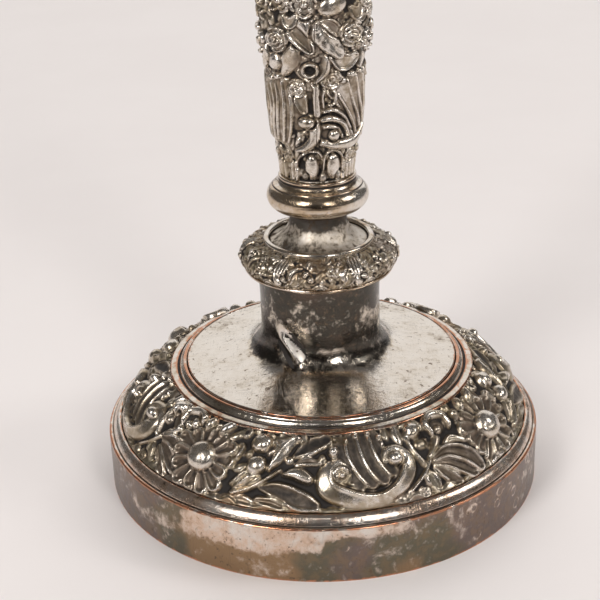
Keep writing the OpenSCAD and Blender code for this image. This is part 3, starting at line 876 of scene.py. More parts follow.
def border_drawing():
    """Four groups of a shell in a scroll, leaves and a daisy, the front one as drawn and the others loose."""
    radius = 62.0
    R = Relief(TAU * radius, float(lengths(border)[-1]), 0.24, -1.2)

    for start, seed in ((-87, 4), (0, 1), (95, 2), (184, 3)):
        D = Stencil(R, radius, start, 0.35 if start else 0.0, seed)
        # leaves and flowers left of the shell
        D.lay([(-15.8, 12.4), (-13.9, 16.4), (-12.2, 20.4), (-9.4, 23.6), (-6.6, 23.4)],
              [0.4, 1.8, 2.4, 1.6, 0.5], 2.7, folded)
        D.lay([(-8.4, 18.2), (-3.8, 21.6), (1.2, 23.8)], [0.8, 3.2, 2.2], 2.4, dished, dark=0.7)
        D.lay([(-8.2, 15.2), (-5, 16.4), (-1.8, 16.0)], [0.5, 1.6, 0.8], 2.2, cupped, dark=0.4)
        D.lay([(-11.6, 11.6), (-7.6, 12.2), (-4.2, 10.6)], [0.4, 1.7, 2.3, 1.7], [2.2, 2.8, 2.8])
        D.line([(-10.6, 11.4), (-8.0, 11.6), (-5.8, 10.6)], [0.2, 0.45, 0.3], 3.2)
        D.lay([(-17.0, 6.8), (-12.4, 6.4), (-7.2, 4.2), (-2.4, 2.3)], [0.8, 2.3, 3.3, 3.2, 1.4], 2.9, dished,
              dark=0.62)
        D.lay([(-17.6, 2.7), (-14, 2.6), (-11.2, 1.6)], [1.2, 1.6, 1.2], 2.4, cupped, dark=0.3)
        D.lay([(-24.0, 2.2), (-21.6, 2.0), (-19.8, 1.6)], [0.6, 1.5, 1.2], 2.1, dished, dark=0.3)
        for row in (((-21.4, 12), (-23.6, 9.0), (-26.0, 6.2)), ((-18.8, 9.6), (-21, 6.9), (-23.9, 4.4)),
                    ((-20, 10.6), (-22.4, 8), (-25.0, 5.0))):
            D.lay(row, [1.3, 1.15, 0.5], [2.5, 2.1, 1.8])
        D.put(R.dome, -19.6, 13.6, 3.4, 3.1, 3.3, 0.5)
        D.lay([(-17.0, 17.6), (-14.9, 20.4), (-16.4, 24.0), (-19.6, 25.2)], [0.4, 0.9, 0.8, 0.4], 2.5, crest)
        D.put(R.dome, -19.8, 21.2, 3.9, 3.4, 3.3, 0.3, swirl=0.4)
        D.put(R.ring, -26.4, 24.0, 1.6, 1.7)
        D.lay([(-30.0, 10.4), (-28.0, 14.4), (-26.2, 18.4)], [0.6, 2.2, 2.6, 1.6], 2.7, cupped, dark=0.2)
        D.lay([(-25.0, 3.6), (-20, 6.2), (-15.4, 10.2), (-12.4, 13.0)], [0.9, 0.6, 0.4], 2.3)
        # daisy
        D.put(R.daisy, -37.4, 11.8, 5.1, 12.4, 14, 2.3, 0.1)
        D.put(R.dome, -46.0, 20.9, 2.2, 1.7, 2.5, 1.9)
        D.put(R.dome, -40.4, 23.0, 2.9, 1.8, 2.8, 1.2)
        D.put(R.dome, -33.6, 23.4, 3.8, 1.9, 2.9, 0.9, swirl=0.2)
        # shell held in a scroll
        D.fan((((3.6, 18.4), (3.8, 14.6), (5.4, 11.2), (8, 8.0)),
               ((7.0, 22.6), (7.4, 17.2), (9.2, 11.8), (11.6, 7.8)),
               ((11.0, 24.4), (11.4, 18), (12.8, 12.2), (15.0, 8.0)),
               ((15.0, 24.4), (15.4, 18.4), (16.6, 13.2), (18.4, 9.6)),
               ((18.8, 22.8), (19.0, 18.2), (19.8, 14.2), (21.0, 11.6))), 2.6, 0.55, 0.36, 0.62)
        for x, y in ((7.2, 23.0), (11.0, 24.6), (15.2, 24.6), (18.8, 22.8)):
            D.put(R.dome, x, y, 1.3, 1.0, 2.7, 0.0)
        D.put(R.dome, 3.2, 19.4, 2.1, 1.8, 2.9, 1.0, swirl=0.3)
        D.put(R.dome, 3.7, 11.6, 4.4, 4.2, 2.3, swirl=0.4)
        D.lay([(6.2, 13.4), (4.4, 15.4), (1.6, 14.6), (0.2, 11.0), (1.2, 7.2), (5.0, 4.8), (10.4, 3.2),
               (15.8, 3.2), (20.4, 5.4), (23.8, 9.2), (24.8, 13.6), (22.8, 17.2), (19.4, 17.3), (18.4, 14.8)],
              [1.2, 1.5, 1.9, 2.6, 3.1, 3.1, 2.4, 2.1, 2.4, 2.7, 2.5, 2.0, 1.6, 1.2],
              [2.8, 3.4, 3.7, 3.8, 3.6, 3.4, 3.6], rolled, n=44)
        D.lay([(6.6, 12.6), (5.0, 13.8), (3.2, 12.6), (3.6, 10.4)], [0.8, 0.7, 0.5], 3.3, n=20)
        D.put(R.dome, 5.0, 11.4, 1.4, 1.4, 3.2)
        D.put(R.dome, 21.2, 14.4, 2.7, 2.4, 4.0, dots=0.25)
        # buds and a fan of leaves right of it
        D.line([(27.4, 21), (27.8, 15.6), (29.4, 10.4)], [0.5, 0.7, 1.0], 2.0)
        D.lay([(27.0, 25.0), (33.4, 25.0), (34.4, 21.0)], [0.5, 0.9, 0.5], 2.6, crest)
        D.put(R.dome, 30.4, 22.0, 3.3, 2.9, 3.2, 0.4, swirl=0.3)
        D.line([(37.0, 17), (34, 13.4), (30.8, 10.2)], [1.7, 1.3, 0.9], 2.1)
        D.put(R.dome, 39.4, 20.4, 3.4, 3.2, 1.4, dark=0.5)
        D.lay([(36.0, 18.6), (35.8, 22.6), (39.6, 24.6), (43.6, 22.8), (43.6, 18.6)],
              [0.8, 1.5, 1.8, 1.6, 0.9], 3.4)
        D.put(R.dome, 39.2, 19.2, 1.6, 1.5, 2.4)
        D.lay([(50.6, 22.4), (49.9, 18.0), (46.8, 14.2)], [0.8, 2.3, 2.5, 1.2], 2.5, dished, dark=0.4)
        D.lay([(38.4, 14.0), (42, 14.8), (46.4, 12.2)], [0.5, 1.3, 0.7], 2.2, cupped, dark=0.1)
        D.lay([(30.0, 7.6), (30.4, 4.6), (31.2, 1.9)], [0.8, 2.0, 2.2, 1.5], 2.6, dished, dark=-0.1)
        D.lay([(32.4, 8.2), (35.2, 4.8), (38.0, 1.5)], [0.5, 1.6, 2.1, 1.7], 2.8, cupped, dark=0.42)
        D.lay([(32.6, 9.6), (37.4, 7.8), (41.8, 4.2), (43.9, 1.6)], [0.5, 1.8, 2.5, 2.4, 1.7], 2.9, cupped,
              dark=0.42)
        D.lay([(32.2, 10.8), (38.0, 11.6), (44.0, 7.6), (46.8, 2.6)], [0.6, 2.1, 3.0, 3.0, 1.9], 3.1, cupped,
              dark=0.42)
        D.put(R.volute, 27.6, 2.0, 1.7, 2.0, 2.2, 1.2)
        D.lay([(31.6, 11.0), (28.6, 7.6), (25.6, 5.0), (22.4, 2.4)], [0.6, 0.5, 0.35], 2.4)
    R.fill(11, 2.6, 1.5, 1.7, 200)
    # a scalloped bead drawn round the feet of the forms, as a disc rolled along them would draw it, and
    # the flat lip outside it
    disc, lip, bead_half = 2.4, 3.4, 0.42
    up = np.arange(R.ny)[:, None] * R.dy
    formed = (R.h > R.ground + 1.0) & (up > 0.5)
    feet = np.minimum(np.where(formed.any(0), formed.argmax(0) * R.dy, lip), lip)
    reach = int(disc / R.dx)
    bow = {j: math.sqrt(disc**2 - (j * R.dx) ** 2) for j in range(-reach, reach + 1)}
    outer = np.min([np.roll(feet, j) - b for j, b in bow.items()], axis=0)
    edge = np.maximum(np.max([np.roll(outer, j) + b for j, b in bow.items()], axis=0) - 0.4, 0.3)
    away = (up - edge[None]) / bead_half
    R.dark = np.where(away < 0.6, -0.8, R.dark)
    R.h = np.where(away < 0, R.ground + 1.1, R.h)
    bead = R.ground + 1.9 * np.sqrt(np.clip(1 - away**2, 0, 1))
    R.h = np.where((np.abs(away) < 1) & (bead > R.h), bead, R.h).astype(np.float32)
    return R


pressed("foot_border", border, border_drawing(), "foot_border", M_RELIEF, cuts=4, spread=1.6, back=0.25,
        fade=0.15, passes=2, film=0.30)

ring = path(
    [ring_r, well_z - 0.6], [ring_r, well_z], [ring_r - 0.1, well_z + 0.3], [ring_r - 0.5, well_z + 0.6],
    [ring_r - 2.1, well_z + 0.85], [ring_r - 2.5, well_z + 0.7], [ring_r - 2.7, well_z + 0.3],
    [ring_r - 3, well_z + 0.3],
    curve([ring_r - 3.2, well_z + 0.5], [ring_r - 3.5, well_z + 1.5], [ring_r - 4, well_z + 2.1],
          [ring_r - 4.5, well_z + 2.3]),
    arc([ring_r - 5.2, well_z + 2.1], 0.75, 20, 150), [dome_r, well_z + 2.3])
lathe("well_ring", ring, 0.3, M_RING, seg=360, warp=waves(5, 0.05), end_soiling_and_shade=0.15, wear_gain=1.5,
      solid=np.array([[dome_r, well_z - 0.6]]))


FOLD = np.array([-10.4, 53.6])  # the fold's middle, as the distance round the neck and the height
FOLD_ALONG = np.array([0.71, -0.70])  # its direction
FOOT_OF_NECK = 26  # radius inside which the trumpet rises


def round_neck(theta, r):
    """The distance round the neck from its front, in mm."""
    return front_turn(theta) * np.minimum(r, FOOT_OF_NECK)


def fold_place(theta, r, z):
    """How far each place is along the fold and across it, towards its upper right."""
    x, y = round_neck(theta, r) - FOLD[0], z - FOLD[1]
    return x * FOLD_ALONG[0] + y * FOLD_ALONG[1], -x * FOLD_ALONG[1] + y * FOLD_ALONG[0]


def dented(theta, r, z):
    """The trumpet's slow waves, and the fold at its front left: a crest with a hollow below it and a flat
    slope above it."""
    along, across = fold_place(theta, r, z)
    crest_line = np.interp(across, [-7, -3.6, -2.0, -0.9, 2.2, 4.5, 8], [0, -0.9, 0.5, 1.15, -0.75, -0.5, 0])
    push = waves(6, 0.10)(theta, r, z) + crest_line * np.exp(-((along / 6.4) ** 4))
    x = round_neck(theta, r)
    for cx, cz, deep in ((-1.5, 50.0, -0.4), (6.5, 52.0, -0.3)):
        push = push + deep * np.exp(-(((x - cx) / 4) ** 2) - (((z - cz) / 3) ** 2))
    return push


trumpet = path(
    [dome_r, dome_z - 0.2], [dome_r - 0.1, dome_z + 0.35], [dome_r - 0.5, dome_z + 0.6],
    curve([dome_r - 0.9, dome_z + 0.65], [neck_r + 5.7, dome_z + 2.9], [neck_r, dome_z + 2.5],
          [neck_r, dome_z + 14], 90),
    curve([neck_r, dome_z + 20], [neck_r, dome_z + 26], [neck_r + 0.2, dome_z + 29],
          [neck_r + 0.5, collar_z - 1.4]),
    [neck_r + 1.2, collar_z - 0.7], [neck_r + 1.2, collar_z])


def trumpet_tarnish_and_highlights(theta, r, z):
    """Clean on the disc, dark up the neck, with a thinner belt; clean silver low on its right, a painted
    highlight, and the fold worn clean, partly wear and partly a painted highlight streak."""
    up = np.clip((26.5 - r) / 4, 0, 1)
    belt = np.exp(-(((z - 61) / 5) ** 2)) * (0.6 + 0.4 * np.sin(theta + 0.9))
    along, across = fold_place(theta, r, z)
    worn_and_highlight = np.exp(-((along / 6.6) ** 4) - (((across - 0.5) / (1.5 + 0.07 * along)) ** 4))
    painted_highlight = np.exp(-(((round_neck(theta, r) - 4.5) / 5) ** 2) - (((z - 50.6) / 2.8) ** 2))
    return 0.10 + 0.585 * up * up * (3 - 2 * up) - 0.08 * belt - 0.36 * painted_highlight - 1.3 * worn_and_highlight


lathe("foot_trumpet", trumpet, 0.6, M_DOME, seg=360, warp=dented, end_soiling_and_shade=0.35, film=trumpet_tarnish_and_highlights)

# ---------------------------------------------------------------- collar and knop

plate_r, _, wreath_z = size("collar_plate")


def edged(node, hole, mat):
    """A flat ring with a round outer edge."""
    r, z0, z1 = size(node)
    h = (z1 - z0) / 2
    lathe(node, path([hole, z0], [r - h, z0], arc([r - h, z0 + h], h, -90, 90), [hole, z1]), 0.1, mat,
          end_soiling_and_shade=0.2, solid=np.array([[hole, z1 - 0.1]]), seg=200)


edged("collar_plate", 3.5, M_TRIM)
rim_z = size("collar_wreath")[2]
rim_out = size("collar_rim")[0]
rim_in = rim_out - 2
wreath = curve([plate_r - 0.6, wreath_z], [plate_r + 3.3, wreath_z + 2.2], [plate_r + 0.2, wreath_z + 8],
               [rim_out, rim_z], 60)


def garland(width, height, ground, high, seed, step=0.2, big=2.9):
    """Roses, buds and curling leaves over an undergrowth of leaves."""
    R = Relief(width, height, step, ground)
    rng = np.random.default_rng(seed)
    R.cover(seed + 1, big * 1.5, high * 0.62, 1.8)
    n = max(4, int(round(width / (big * 3.6))))
    for k in range(n):
        x, w = width * (k + 0.5) / n + rng.normal() * 0.3, width / n
        y = height * (0.46 + 0.08 * (-1) ** k)
        side = (-1) ** k
        for f, q, turn, shape in ((1.25, 0.35, 1.9, folded), (1.2, -0.5, -1.2, dished)):
            R.leaf(x + side * w * 0.46, y + big * q, big * 2.3, big * 0.6, turn * side, high * 0.95,
                   0.6 * side, shape)
        if k % 3 == 0:
            R.rose(x, y, big * 0.95, high, start=rng.uniform(0, 6))
        elif k % 3 == 1:
            lines = [[(x + big * (0.2 * j), height * 0.12), (x + big * (0.5 * j), height * 0.45),
                      (x + big * (0.62 * j + 0.2), height * 0.8)] for j in (-1.4, -0.5, 0.4, 1.3)]
            R.fan(lines, high * 0.95, 0.36, 0.4, 0.25)
            R.dome(x + big * 0.9, height * 0.3, big * 0.42, big * 0.6, high * 1.05, 1.2)
        else:
            R.bud(x, y + big * 0.5, big * 0.5, math.pi / 2 + side * 0.5, high, 2.6)
            R.dome(x + big * 0.7, y - big * 0.2, big * 0.5, big * 0.5, high * 1.05)
        for q in (0.95, 0.6):
            bow = [(x + w / 2 + big * q * math.cos(t), height * 0.04 + big * q * math.sin(t))
                   for t in np.linspace(0.0, math.pi, 7)]
            R.ribbon(bow, 0.3, high * 0.85, rounded, True, n=16)
    return R


def wreathed(node, line, radius, ground, high, seed, big, back, spread=0.9, body="stick"):
    """A wreath of flowers pressed along a line."""
    drawing = garland(TAU * radius, float(lengths(line)[-1]), ground, high, seed, big=big)
    pressed(node, line, drawing, node, M_RELIEF, body=body, spread=spread, back=back, fade=0.5)


wreathed("collar_wreath", wreath, 25, -0.75, 1.75, 21, 2.4, 0.2, 1.0)


def bead(node, r_in, mat):
    """A plain half-round bead."""
    r, z0, z1 = size(node)
    h = (r - r_in) / 2
    lathe(node, path([r, z0], arc([(r + r_in) / 2, z1 - h], h, 0, 180), [r_in, z0]), 0.1, mat, end_soiling_and_shade=0.35,
          solid=np.array([[r_in + 0.2, z0], [r - 0.2, z0]]), seg=200, warp=waves(int(r * 7), 0.03))


bead("collar_rim", rim_in, M_TRIM)
spool_z1 = size("neck_spool")[2]
spool = path(
    curve([rim_in, rim_z - 0.3], [rim_in - 3.6, rim_z + 0.1], [10.6, rim_z + 2.9], [9.8, rim_z + 5.9]),
    curve([9.6, rim_z + 6.7], [9.4, rim_z + 7.9], [9.4, rim_z + 8.9], [10.2, rim_z + 9.9]),
    [11.8, rim_z + 10.2], [11.8, spool_z1])
lathe("neck_spool", spool, 0.5, M_SPOOL, seg=200, warp=waves(8, 0.05), end_soiling_and_shade=0.5,
      film=lambda theta, r, z: 0.42 + 0.5 * np.clip((z - rim_z - 4.5) / 3, 0, 1))

knop_r, knop_z, knop_z1 = size("lower_knop")
cushion = arc([knop_r - 4.3, knop_z + 4.9], 4.3, -68, 60, 40)
knop = path([11.8, knop_z], [12.5, knop_z + 0.1], [12.7, knop_z + 0.5], cushion,
            curve(cushion[-1] + [-0.1, 0.3], [knop_r - 3, knop_z + 9.3], [12.9, knop_z + 9.6],
                  [12.6, knop_z1]))
lathe("lower_knop", knop, 0.5, M_KNOP, seg=240, warp=waves(9, 0.05), end_soiling_and_shade=0.6, film=0.2)


def wire(node, r_in, mat, body="stick"):
    """A ring of wire with a round outer side."""
    r, z0, z1 = size(node)
    h = (z1 - z0) / 2
    lathe(node, path([r_in, z0], [r - h, z0], arc([r - h, z0 + h], h, -90, 90), [r_in, z1]), 0.1, mat, body,
          end_soiling_and_shade=0.3, solid=np.array([[r_in, z1 - 0.1]]), seg=240, warp=waves(int(r * 5), 0.03))


wire("stem_foot_ring", 10.6, M_TRIM)

# ---------------------------------------------------------------- stem

_, stem_z, stem_z1 = size("stem_half_left")
stem_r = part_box("stem_half_left")[1].y / MM  # the half's box is half as wide in x
stem = path(
    curve([11.6, stem_z], [11.7, stem_z + 2.7], [12, stem_z + 5.7], [12.7, stem_z + 8.2]),
    curve([12.9, stem_z + 8.6], [14.2, stem_z + 15], [14.6, stem_z + 25], [stem_r - 1.8, stem_z + 32]),
    curve([stem_r - 1.75, stem_z + 32.6], [stem_r - 0.4, stem_z + 41], [stem_r, stem_z + 47],
          [stem_r, stem_z + 53]),
    curve([stem_r, stem_z + 53.6], [stem_r, stem_z + 63], [stem_r - 2, stem_z1 - 5], [10.2, stem_z1], 60))


def stem_drawing():
    """Flowers and fluted leaves over scrolls, the same at the front and at the back."""
    radius = 15.0
    R = Relief(TAU * radius, float(lengths(stem)[-1]), 0.2, -0.75)
    rng = np.random.default_rng(5)
    R.cover(6, 5.2, 1.2, 1.2)

    for start in (0, 180):  # the front and the back are struck from one die
        D = Stencil(R, radius, start)
        # pear lobes under arches, between short flutes
        for x in (-84, -75, -66, -57, -40, -33, 44, 51.5, 60, 69, 78, 87):
            D.lay([(x, 0.8), (x * 0.99, 6.2)], [0.7, 1.05, 0.9], 1.5)
        for x in (-48.5, 55):
            D.put(R.rose, x, 8.8, 2.5, 1.8, 1.0)
        for x in (-72, 78):
            D.put(R.bud, x, 9.0, 1.5, math.pi / 2, 1.7, 1.6)
        for x in (-7.6, 24.0):
            D.put(R.dome, x, 5.6, 2.8, 4.6, 2.5, dark=0.1)
        D.lay([(-31, 5.5), (-24, 9.4), (-9, 11.6), (5, 10.6), (8.4, 4.5)], [0.4, 0.6, 0.4], 2.0)
        D.lay([(9, 4.5), (12, 10.4), (25, 11.6), (37, 8.8), (41, 3.6)], [0.4, 0.6, 0.4], 2.0)
        for x, y, r in ((-18.5, 2.6, 1.5), (8.6, 2.0, 1.7), (33.0, 2.6, 1.4)):
            D.put(R.dome, x, y, r, r, 1.9, dark=0.25)
        # fluted leaves, spread from their feet
        D.put(R.dome, -24, 24.0, 4.4, 6.0, 0.9, dark=0.35)
        D.fan((((-96, 13), (-95, 19), (-90, 25), (-97, 31)),
               ((-85, 13), (-84, 19), (-78, 25), (-85, 31.4)),
               ((-74, 13.5), (-73, 19.4), (-67, 25), (-74, 32)),
               ((-65, 13.8), (-64, 20), (-58, 26.5), (-62, 33)),
               ((-56.8, 14), (-54.8, 20.7), (-50, 28.5), (-52.4, 34)),
               ((-46.6, 14), (-42.2, 21.5), (-40.4, 27.7), (-41, 35)),
               ((-38.4, 13.7), (-33.2, 18.6), (-30.8, 25.1), (-32.5, 33))), 2.0, 0.5, 0.34, 0.25)
        D.fan((((108, 14), (101, 20.6), (93, 27), (82, 34)),
               ((98, 14), (88, 20.6), (78, 27), (66, 35)),
               ((85.8, 14), (74.2, 21.2), (63.4, 26.9), (51.2, 35.6)),
               ((72.4, 14), (63.2, 20.2), (50.2, 26.7), (38, 34.7)),
               ((61.6, 14.0), (51.4, 19.7), (36.0, 26.4), (22.4, 32)),
               ((53.8, 14), (41.8, 20.5), (28, 26.2), (13.4, 31))), 2.1, 0.5, 0.34, 0.25)
        for x, y in ((-57, 34.8), (-46, 35.8), (44, 36.2), (58, 36.6), (31, 34.6)):
            D.put(R.dome, x, y, 1.5, 1.2, 1.9)
        # a scroll and a hook, back to back
        D.put(R.dome, 24, 18.0, 5.2, 4.0, 0.8, dark=0.4)
        D.lay([(4.8, 14.8), (22, 13.5), (44, 13.0), (62, 13.8), (78, 17.6)], [1.3, 1.7, 2.0, 1.9, 0.9], 2.3,
              n=30)
        D.lay([(7, 24.8), (20, 25.4), (33, 23.4), (46, 18.4)], [0.7, 0.9, 0.7], 2.0)
        D.lay([(5.0, 22.2), (18.6, 22.5), (34.4, 20.4), (44.0, 16.0)], [1.0, 1.2, 1.0, 0.7], 2.2, n=24)
        D.lay([(5.0, 19.6), (16, 20.0), (27, 19.0), (34.5, 15.8)], [1.0, 0.9, 0.7, 0.5], 2.1, n=24)
        D.put(R.dome, 22.8, 16.8, 2.1, 2.0, 2.5)
        D.lay([(-12.0, 21.6), (-4.6, 21.8), (-1.4, 18.8), (-3.6, 15.6), (-13.6, 12.9), (-27, 11.9)],
              [1.6, 2.0, 2.1, 1.9, 1.6, 0.7], 2.5, n=28)
        D.put(R.dome, -12.0, 21.4, 2.9, 2.1, 2.8)
        # stem of the lily, and the flowers beside it
        D.lay([(-15, 25.4), (-18, 28.6), (-17, 31)], [1.5, 2.4, 1.2], 1.6, dished, dark=0.3)
        D.lay([(1.4, 24.2), (0.9, 29), (0.4, 33), (-4.4, 36.4)], [1.3, 1.4, 1.1, 1.3], 2.3)
        D.put(R.rose, -22, 32.6, 3.0, 2.2, 0.4)
        D.lay([(9, 26.4), (8, 30.6), (14, 33.2), (23, 31), (22, 27.6), (15, 27)], [0.5, 0.7, 0.4], 2.0, n=22)
        D.put(R.rose, 18.0, 35.4, 3.2, 2.1, 2.0)
        D.lay([(-18, 42.4), (-16, 38.4), (-8, 35.4)], [1.0, 1.8, 0.8], 2.0, folded)
        D.lay([(12.4, 42.6), (9.6, 38.6), (0, 35.0)], [1.0, 1.8, 0.7], 2.0, folded)
        D.put(R.ring, -5.4, 39.0, 2.0, 2.5)
        D.lay([(-33, 38.0), (-26.5, 41.8), (-21, 46)], [1.5, 3.0, 1.4], 2.1, folded)
        D.lay([(19, 43.4), (32, 40.6), (47, 41.4)], [1.2, 3.1, 1.7], 2.0, dished, dark=0.1)
        D.put(R.dome, -48, 40.6, 2.9, 3.0, 2.1, swirl=0.2)
        D.lay([(56, 38.6), (62, 42), (60, 46)], [1.2, 2.2, 0.8], 1.9, folded)
        D.lay([(-66, 38), (-62, 42), (-64, 47)], [1.0, 2.2, 0.8], 1.9, veined)
        # a stalk between a hollow petal and a folded leaf
        D.lay([(-0.6, 44.0), (0.4, 49.4), (-1.0, 54)], [1.0, 1.4, 1.0], 2.0)
        D.lay([(-21, 51.8), (-13.4, 49.4), (-4.6, 45.2)], [2.4, 3.7, 3.1, 1.5], 2.3, cupped, dark=0.15)
        D.lay([(-20, 53.8), (-12, 53.6), (-4.6, 50.2)], [1.0, 2.0, 1.1], 2.5)
        D.lay([(5.8, 52.6), (13.4, 48.8), (25.4, 43.4)], [2.2, 3.9, 3.3, 1.6], 2.3, veined)
        D.lay([(9, 53.8), (17, 52.8), (26.4, 49.4)], [0.8, 1.7, 1.9, 0.9], 2.4, dished)
        # roses and rolled flowers
        D.put(R.rose, -43, 47.8, 3.9, 2.3, 0.2)
        D.put(R.rose, 42, 49.4, 4.3, 2.3, 1.2)
        D.put(R.puff, -78, 46, 4.4, 2.1, 4, 0.3)
        D.put(R.puff, 74, 46, 4.4, 2.1, 4, 0.9)
        D.put(R.rose, -98, 55, 3.6, 2.1, 0.9)
        D.lay([(-32, 55.2), (-26, 53.2), (-19, 55.4)], [0.8, 1.8, 0.8], 1.9, dished)
        D.put(R.puff, -10, 59.0, 4.0, 2.1, 4, 0.1)
        D.put(R.dome, 19, 58.6, 4.3, 3.2, 2.5, 0.4)
        D.put(R.puff, -38, 59.8, 3.9, 2.1, 4, 0.7)
        D.lay([(41, 57), (49, 55.0), (58, 58.2)], [0.9, 2.3, 1.0], 2.0, dished, dark=0.15)
        D.put(R.rose, 68, 59.4, 3.6, 2.1, 0.1)
        D.put(R.puff, -66, 58.4, 3.7, 2.0, 4, 0.1)
    for i in range(12):  # leaves over the shoulder
        x = (i + 0.5) * R.width / 12
        R.ribbon([(x + R.width / 24, 66), (x + R.width / 24, 76.6)], [1.4, 1.8, 1.3], 1.5, veined, True)
        R.ribbon([(x, 63.6), (x + 0.4, 69), (x, 76.4)], [1.8, 3.0, 2.8, 2.0], 1.9, dished, True)
        R.ribbon([(x, 64.5), (x + 0.3, 69), (x, 75)], [0.3, 0.5, 0.3], 1.7)
        R.dome(x + R.width / 24, 65.6 + rng.normal() * 0.2, 1.3, 1.3, 1.8)
    return R


stem_relief = stem_drawing()
pressed("stem", stem, stem_relief, ["stem_half_left", "stem_half_right"], M_RELIEF, cuts=2, spread=1.1,
        back=0.2, fade=0.5, film=0.28, seam=(0.0, stem_relief.width / 2))

# ---------------------------------------------------------------- above the stem

wire("stem_top_ring", 9, M_TRIM)
up_r, up_z, up_z1 = size("upper_spool")
lathe("upper_spool", path(
    curve([9.8, up_z], [7.6, up_z + 1.6], [7, up_z + 4.5], [7.2, up_z + 7.4]),
    curve([7.3, up_z + 7.9], [7.6, up_z + 9.2], [8.6, up_z + 10.4], [10.4, up_z + 10.8]),
    [10.4, up_z1]), 0.5, M_SPOOL, seg=160, warp=waves(10, 0.04), end_soiling_and_shade=0.5)
edged("upper_plate", 3.5, M_TRIM)
_, uw_z, ur_z = size("upper_wreath")
up_rim = size("upper_rim")[0]
up_wreath = curve([14.6, uw_z], [18, uw_z + 1.8], [15.4, uw_z + 6], [up_rim, ur_z], 50)
wreathed("upper_wreath", up_wreath, 15, -0.6, 1.45, 22, 2.1, 0.15)
bead("upper_rim", 9.6, M_TRIM)
ss_z1 = size("socket_spool")[2]
lathe("socket_spool", path(
    curve([9.6, ur_z - 0.3], [7.6, ur_z], [6.7, ur_z + 2], [6.6, ur_z + 4.4]),
    curve([6.6, ur_z + 5], [6.6, ur_z + 6.4], [7, ur_z + 7], [8.2, ur_z + 7.4]),
    [8.4, ss_z1]), 0.5, M_SPOOL, seg=160, warp=waves(11, 0.03), end_soiling_and_shade=0.5)
_, uk_z, uk_z1 = size("upper_knop")
lathe("upper_knop", path(
    [8.4, uk_z], [8.9, uk_z + 0.4], arc([8.8, uk_z + 3.5], 2.9, -80, 80, 30), [8.7, uk_z + 6.7],
    [8.6, uk_z1]), 0.5, M_KNOP, seg=180, warp=waves(12, 0.03), end_soiling_and_shade=0.5)

_, so_z, so_z1 = size("socket_shell")
socket = path(
    [8.6, so_z],
    curve([9.4, so_z + 0.1], [14.5, so_z + 0.8], [17.6, so_z + 5.4], [17.3, so_z + 12], 50),
    curve([17.2, so_z + 12.8], [16.4, so_z + 19], [15.2, so_z + 23], [15.4, so_z + 28], 50),
    curve([15.5, so_z + 28.8], [16, so_z + 34], [17.6, so_z + 38], [19.4, so_z + 40.2], 40), [19.4, so_z1])


def socket_drawing():
    """A calyx of tall leaves, a band of flowers over them and flutes under the mouth."""
    R = Relief(TAU * 16, float(lengths(socket)[-1]), 0.22, -0.6)
    R.cover(42, 4.6, 0.95)
    n = 8
    for i in range(n):
        x, w = (i + 0.5) * R.width / n, R.width / n
        R.ribbon([(x + w / 2, 3), (x + w / 2, 18.5)], [w * 0.1, w * 0.3, w * 0.26, 0.6], 1.4, folded, True)
        R.ribbon([(x, 1.0), (x + 0.5, 11), (x, 20.5)], [w * 0.2, w * 0.42, w * 0.4, w * 0.1], 1.8, dished,
                 True)
        for y, f in ((15.5, 0.8), (12, 1.0), (8.5, 1.0), (5, 0.8)):
            for side in (-1, 1):
                R.leaf(x + side * w * 0.19 * f, y, 3.6, 1.1, math.pi / 2 - side * 0.6, 1.7, 0.3 * side,
                       rounded)
        R.ribbon([(x, 1.0), (x, 18)], [0.5, 0.7, 0.35], 2.0)
        R.bud(x + w / 2, 20.8, 1.8, math.pi / 2, 1.9)
        (R.rose if i % 2 else R.puff)(x, 26.8, 4.0, 2.0, start=0.5 * i)
        R.leaf(x + w / 2, 27.2, 6.4, 1.7, 1.2, 1.7, shape=folded)
    m = 24
    for i in range(m):
        x = (i + 0.5) * R.width / m
        R.ribbon([(x, 34.0), (x, 44)], [1.2, 1.7, 1.9], 1.5, rounded, True)
    R.ribbon([(0, 32.6), (R.width / 2, 32.6), (R.width, 32.6)], 0.45, 1.7, n=60)
    return R


pressed("socket_shell", socket, socket_drawing(), "socket_shell", M_RELIEF, spread=1.1, back=0.1, fade=0.6)
liner_r, li_z, li_z1 = size("socket_liner")
lathe("socket_liner", path([liner_r, li_z], [liner_r, li_z1]), 0.6, M_RING, seg=120, end_soiling_and_shade=0.3)
wire("socket_rim", liner_r - 0.6, M_TRIM)

# ---------------------------------------------------------------- nozzle

tube_r0, tu_z, tu_z1 = size("nozzle_tube")
candle_r = tube_r0 - 1.4
tube_r = candle_r + 0.6
pan_z = size("drip_pan")[1]
lathe("nozzle_tube", path(
    [tube_r, tu_z], [tube_r, pan_z + 2.6], [tube_r + 0.8, pan_z + 3.2], [tube_r + 0.8, pan_z + 3.6],
    [candle_r, pan_z + 3.6], [candle_r, tu_z]), 0.1, M_RING, "nozzle", seg=160, end_soiling_and_shade=0.4,
    solid=np.array([[candle_r + 0.2, tu_z], [tube_r - 0.2, tu_z]]))
_, fl_z, fl_z1 = size("nozzle_floor")
lathe("nozzle_floor", path(
    [0.05, fl_z], [tube_r - 0.3, fl_z], arc([tube_r - 0.3, fl_z + 0.3], 0.3, -90, 0), [tube_r, fl_z1],
    [0.05, fl_z1]), 0.1, M_RING, "nozzle", seg=120, end_soiling_and_shade=0.5, solid=np.array([[0.05, fl_z1 - 0.1]]))
start_r = size("drip_pan")[0]
lathe("drip_pan", path(
    [start_r, pan_z + 2], [start_r, pan_z + 2.9], [16.2, pan_z + 0.9], [tube_r, pan_z + 0.9],
    [tube_r, pan_z], [16.5, pan_z]), 0.1, M_DOME, "nozzle", seg=240, end_soiling_and_shade=0.6,
    solid=np.array([[17.0, pan_z + 0.25]]))
pan_r = size("pan_border")[0]
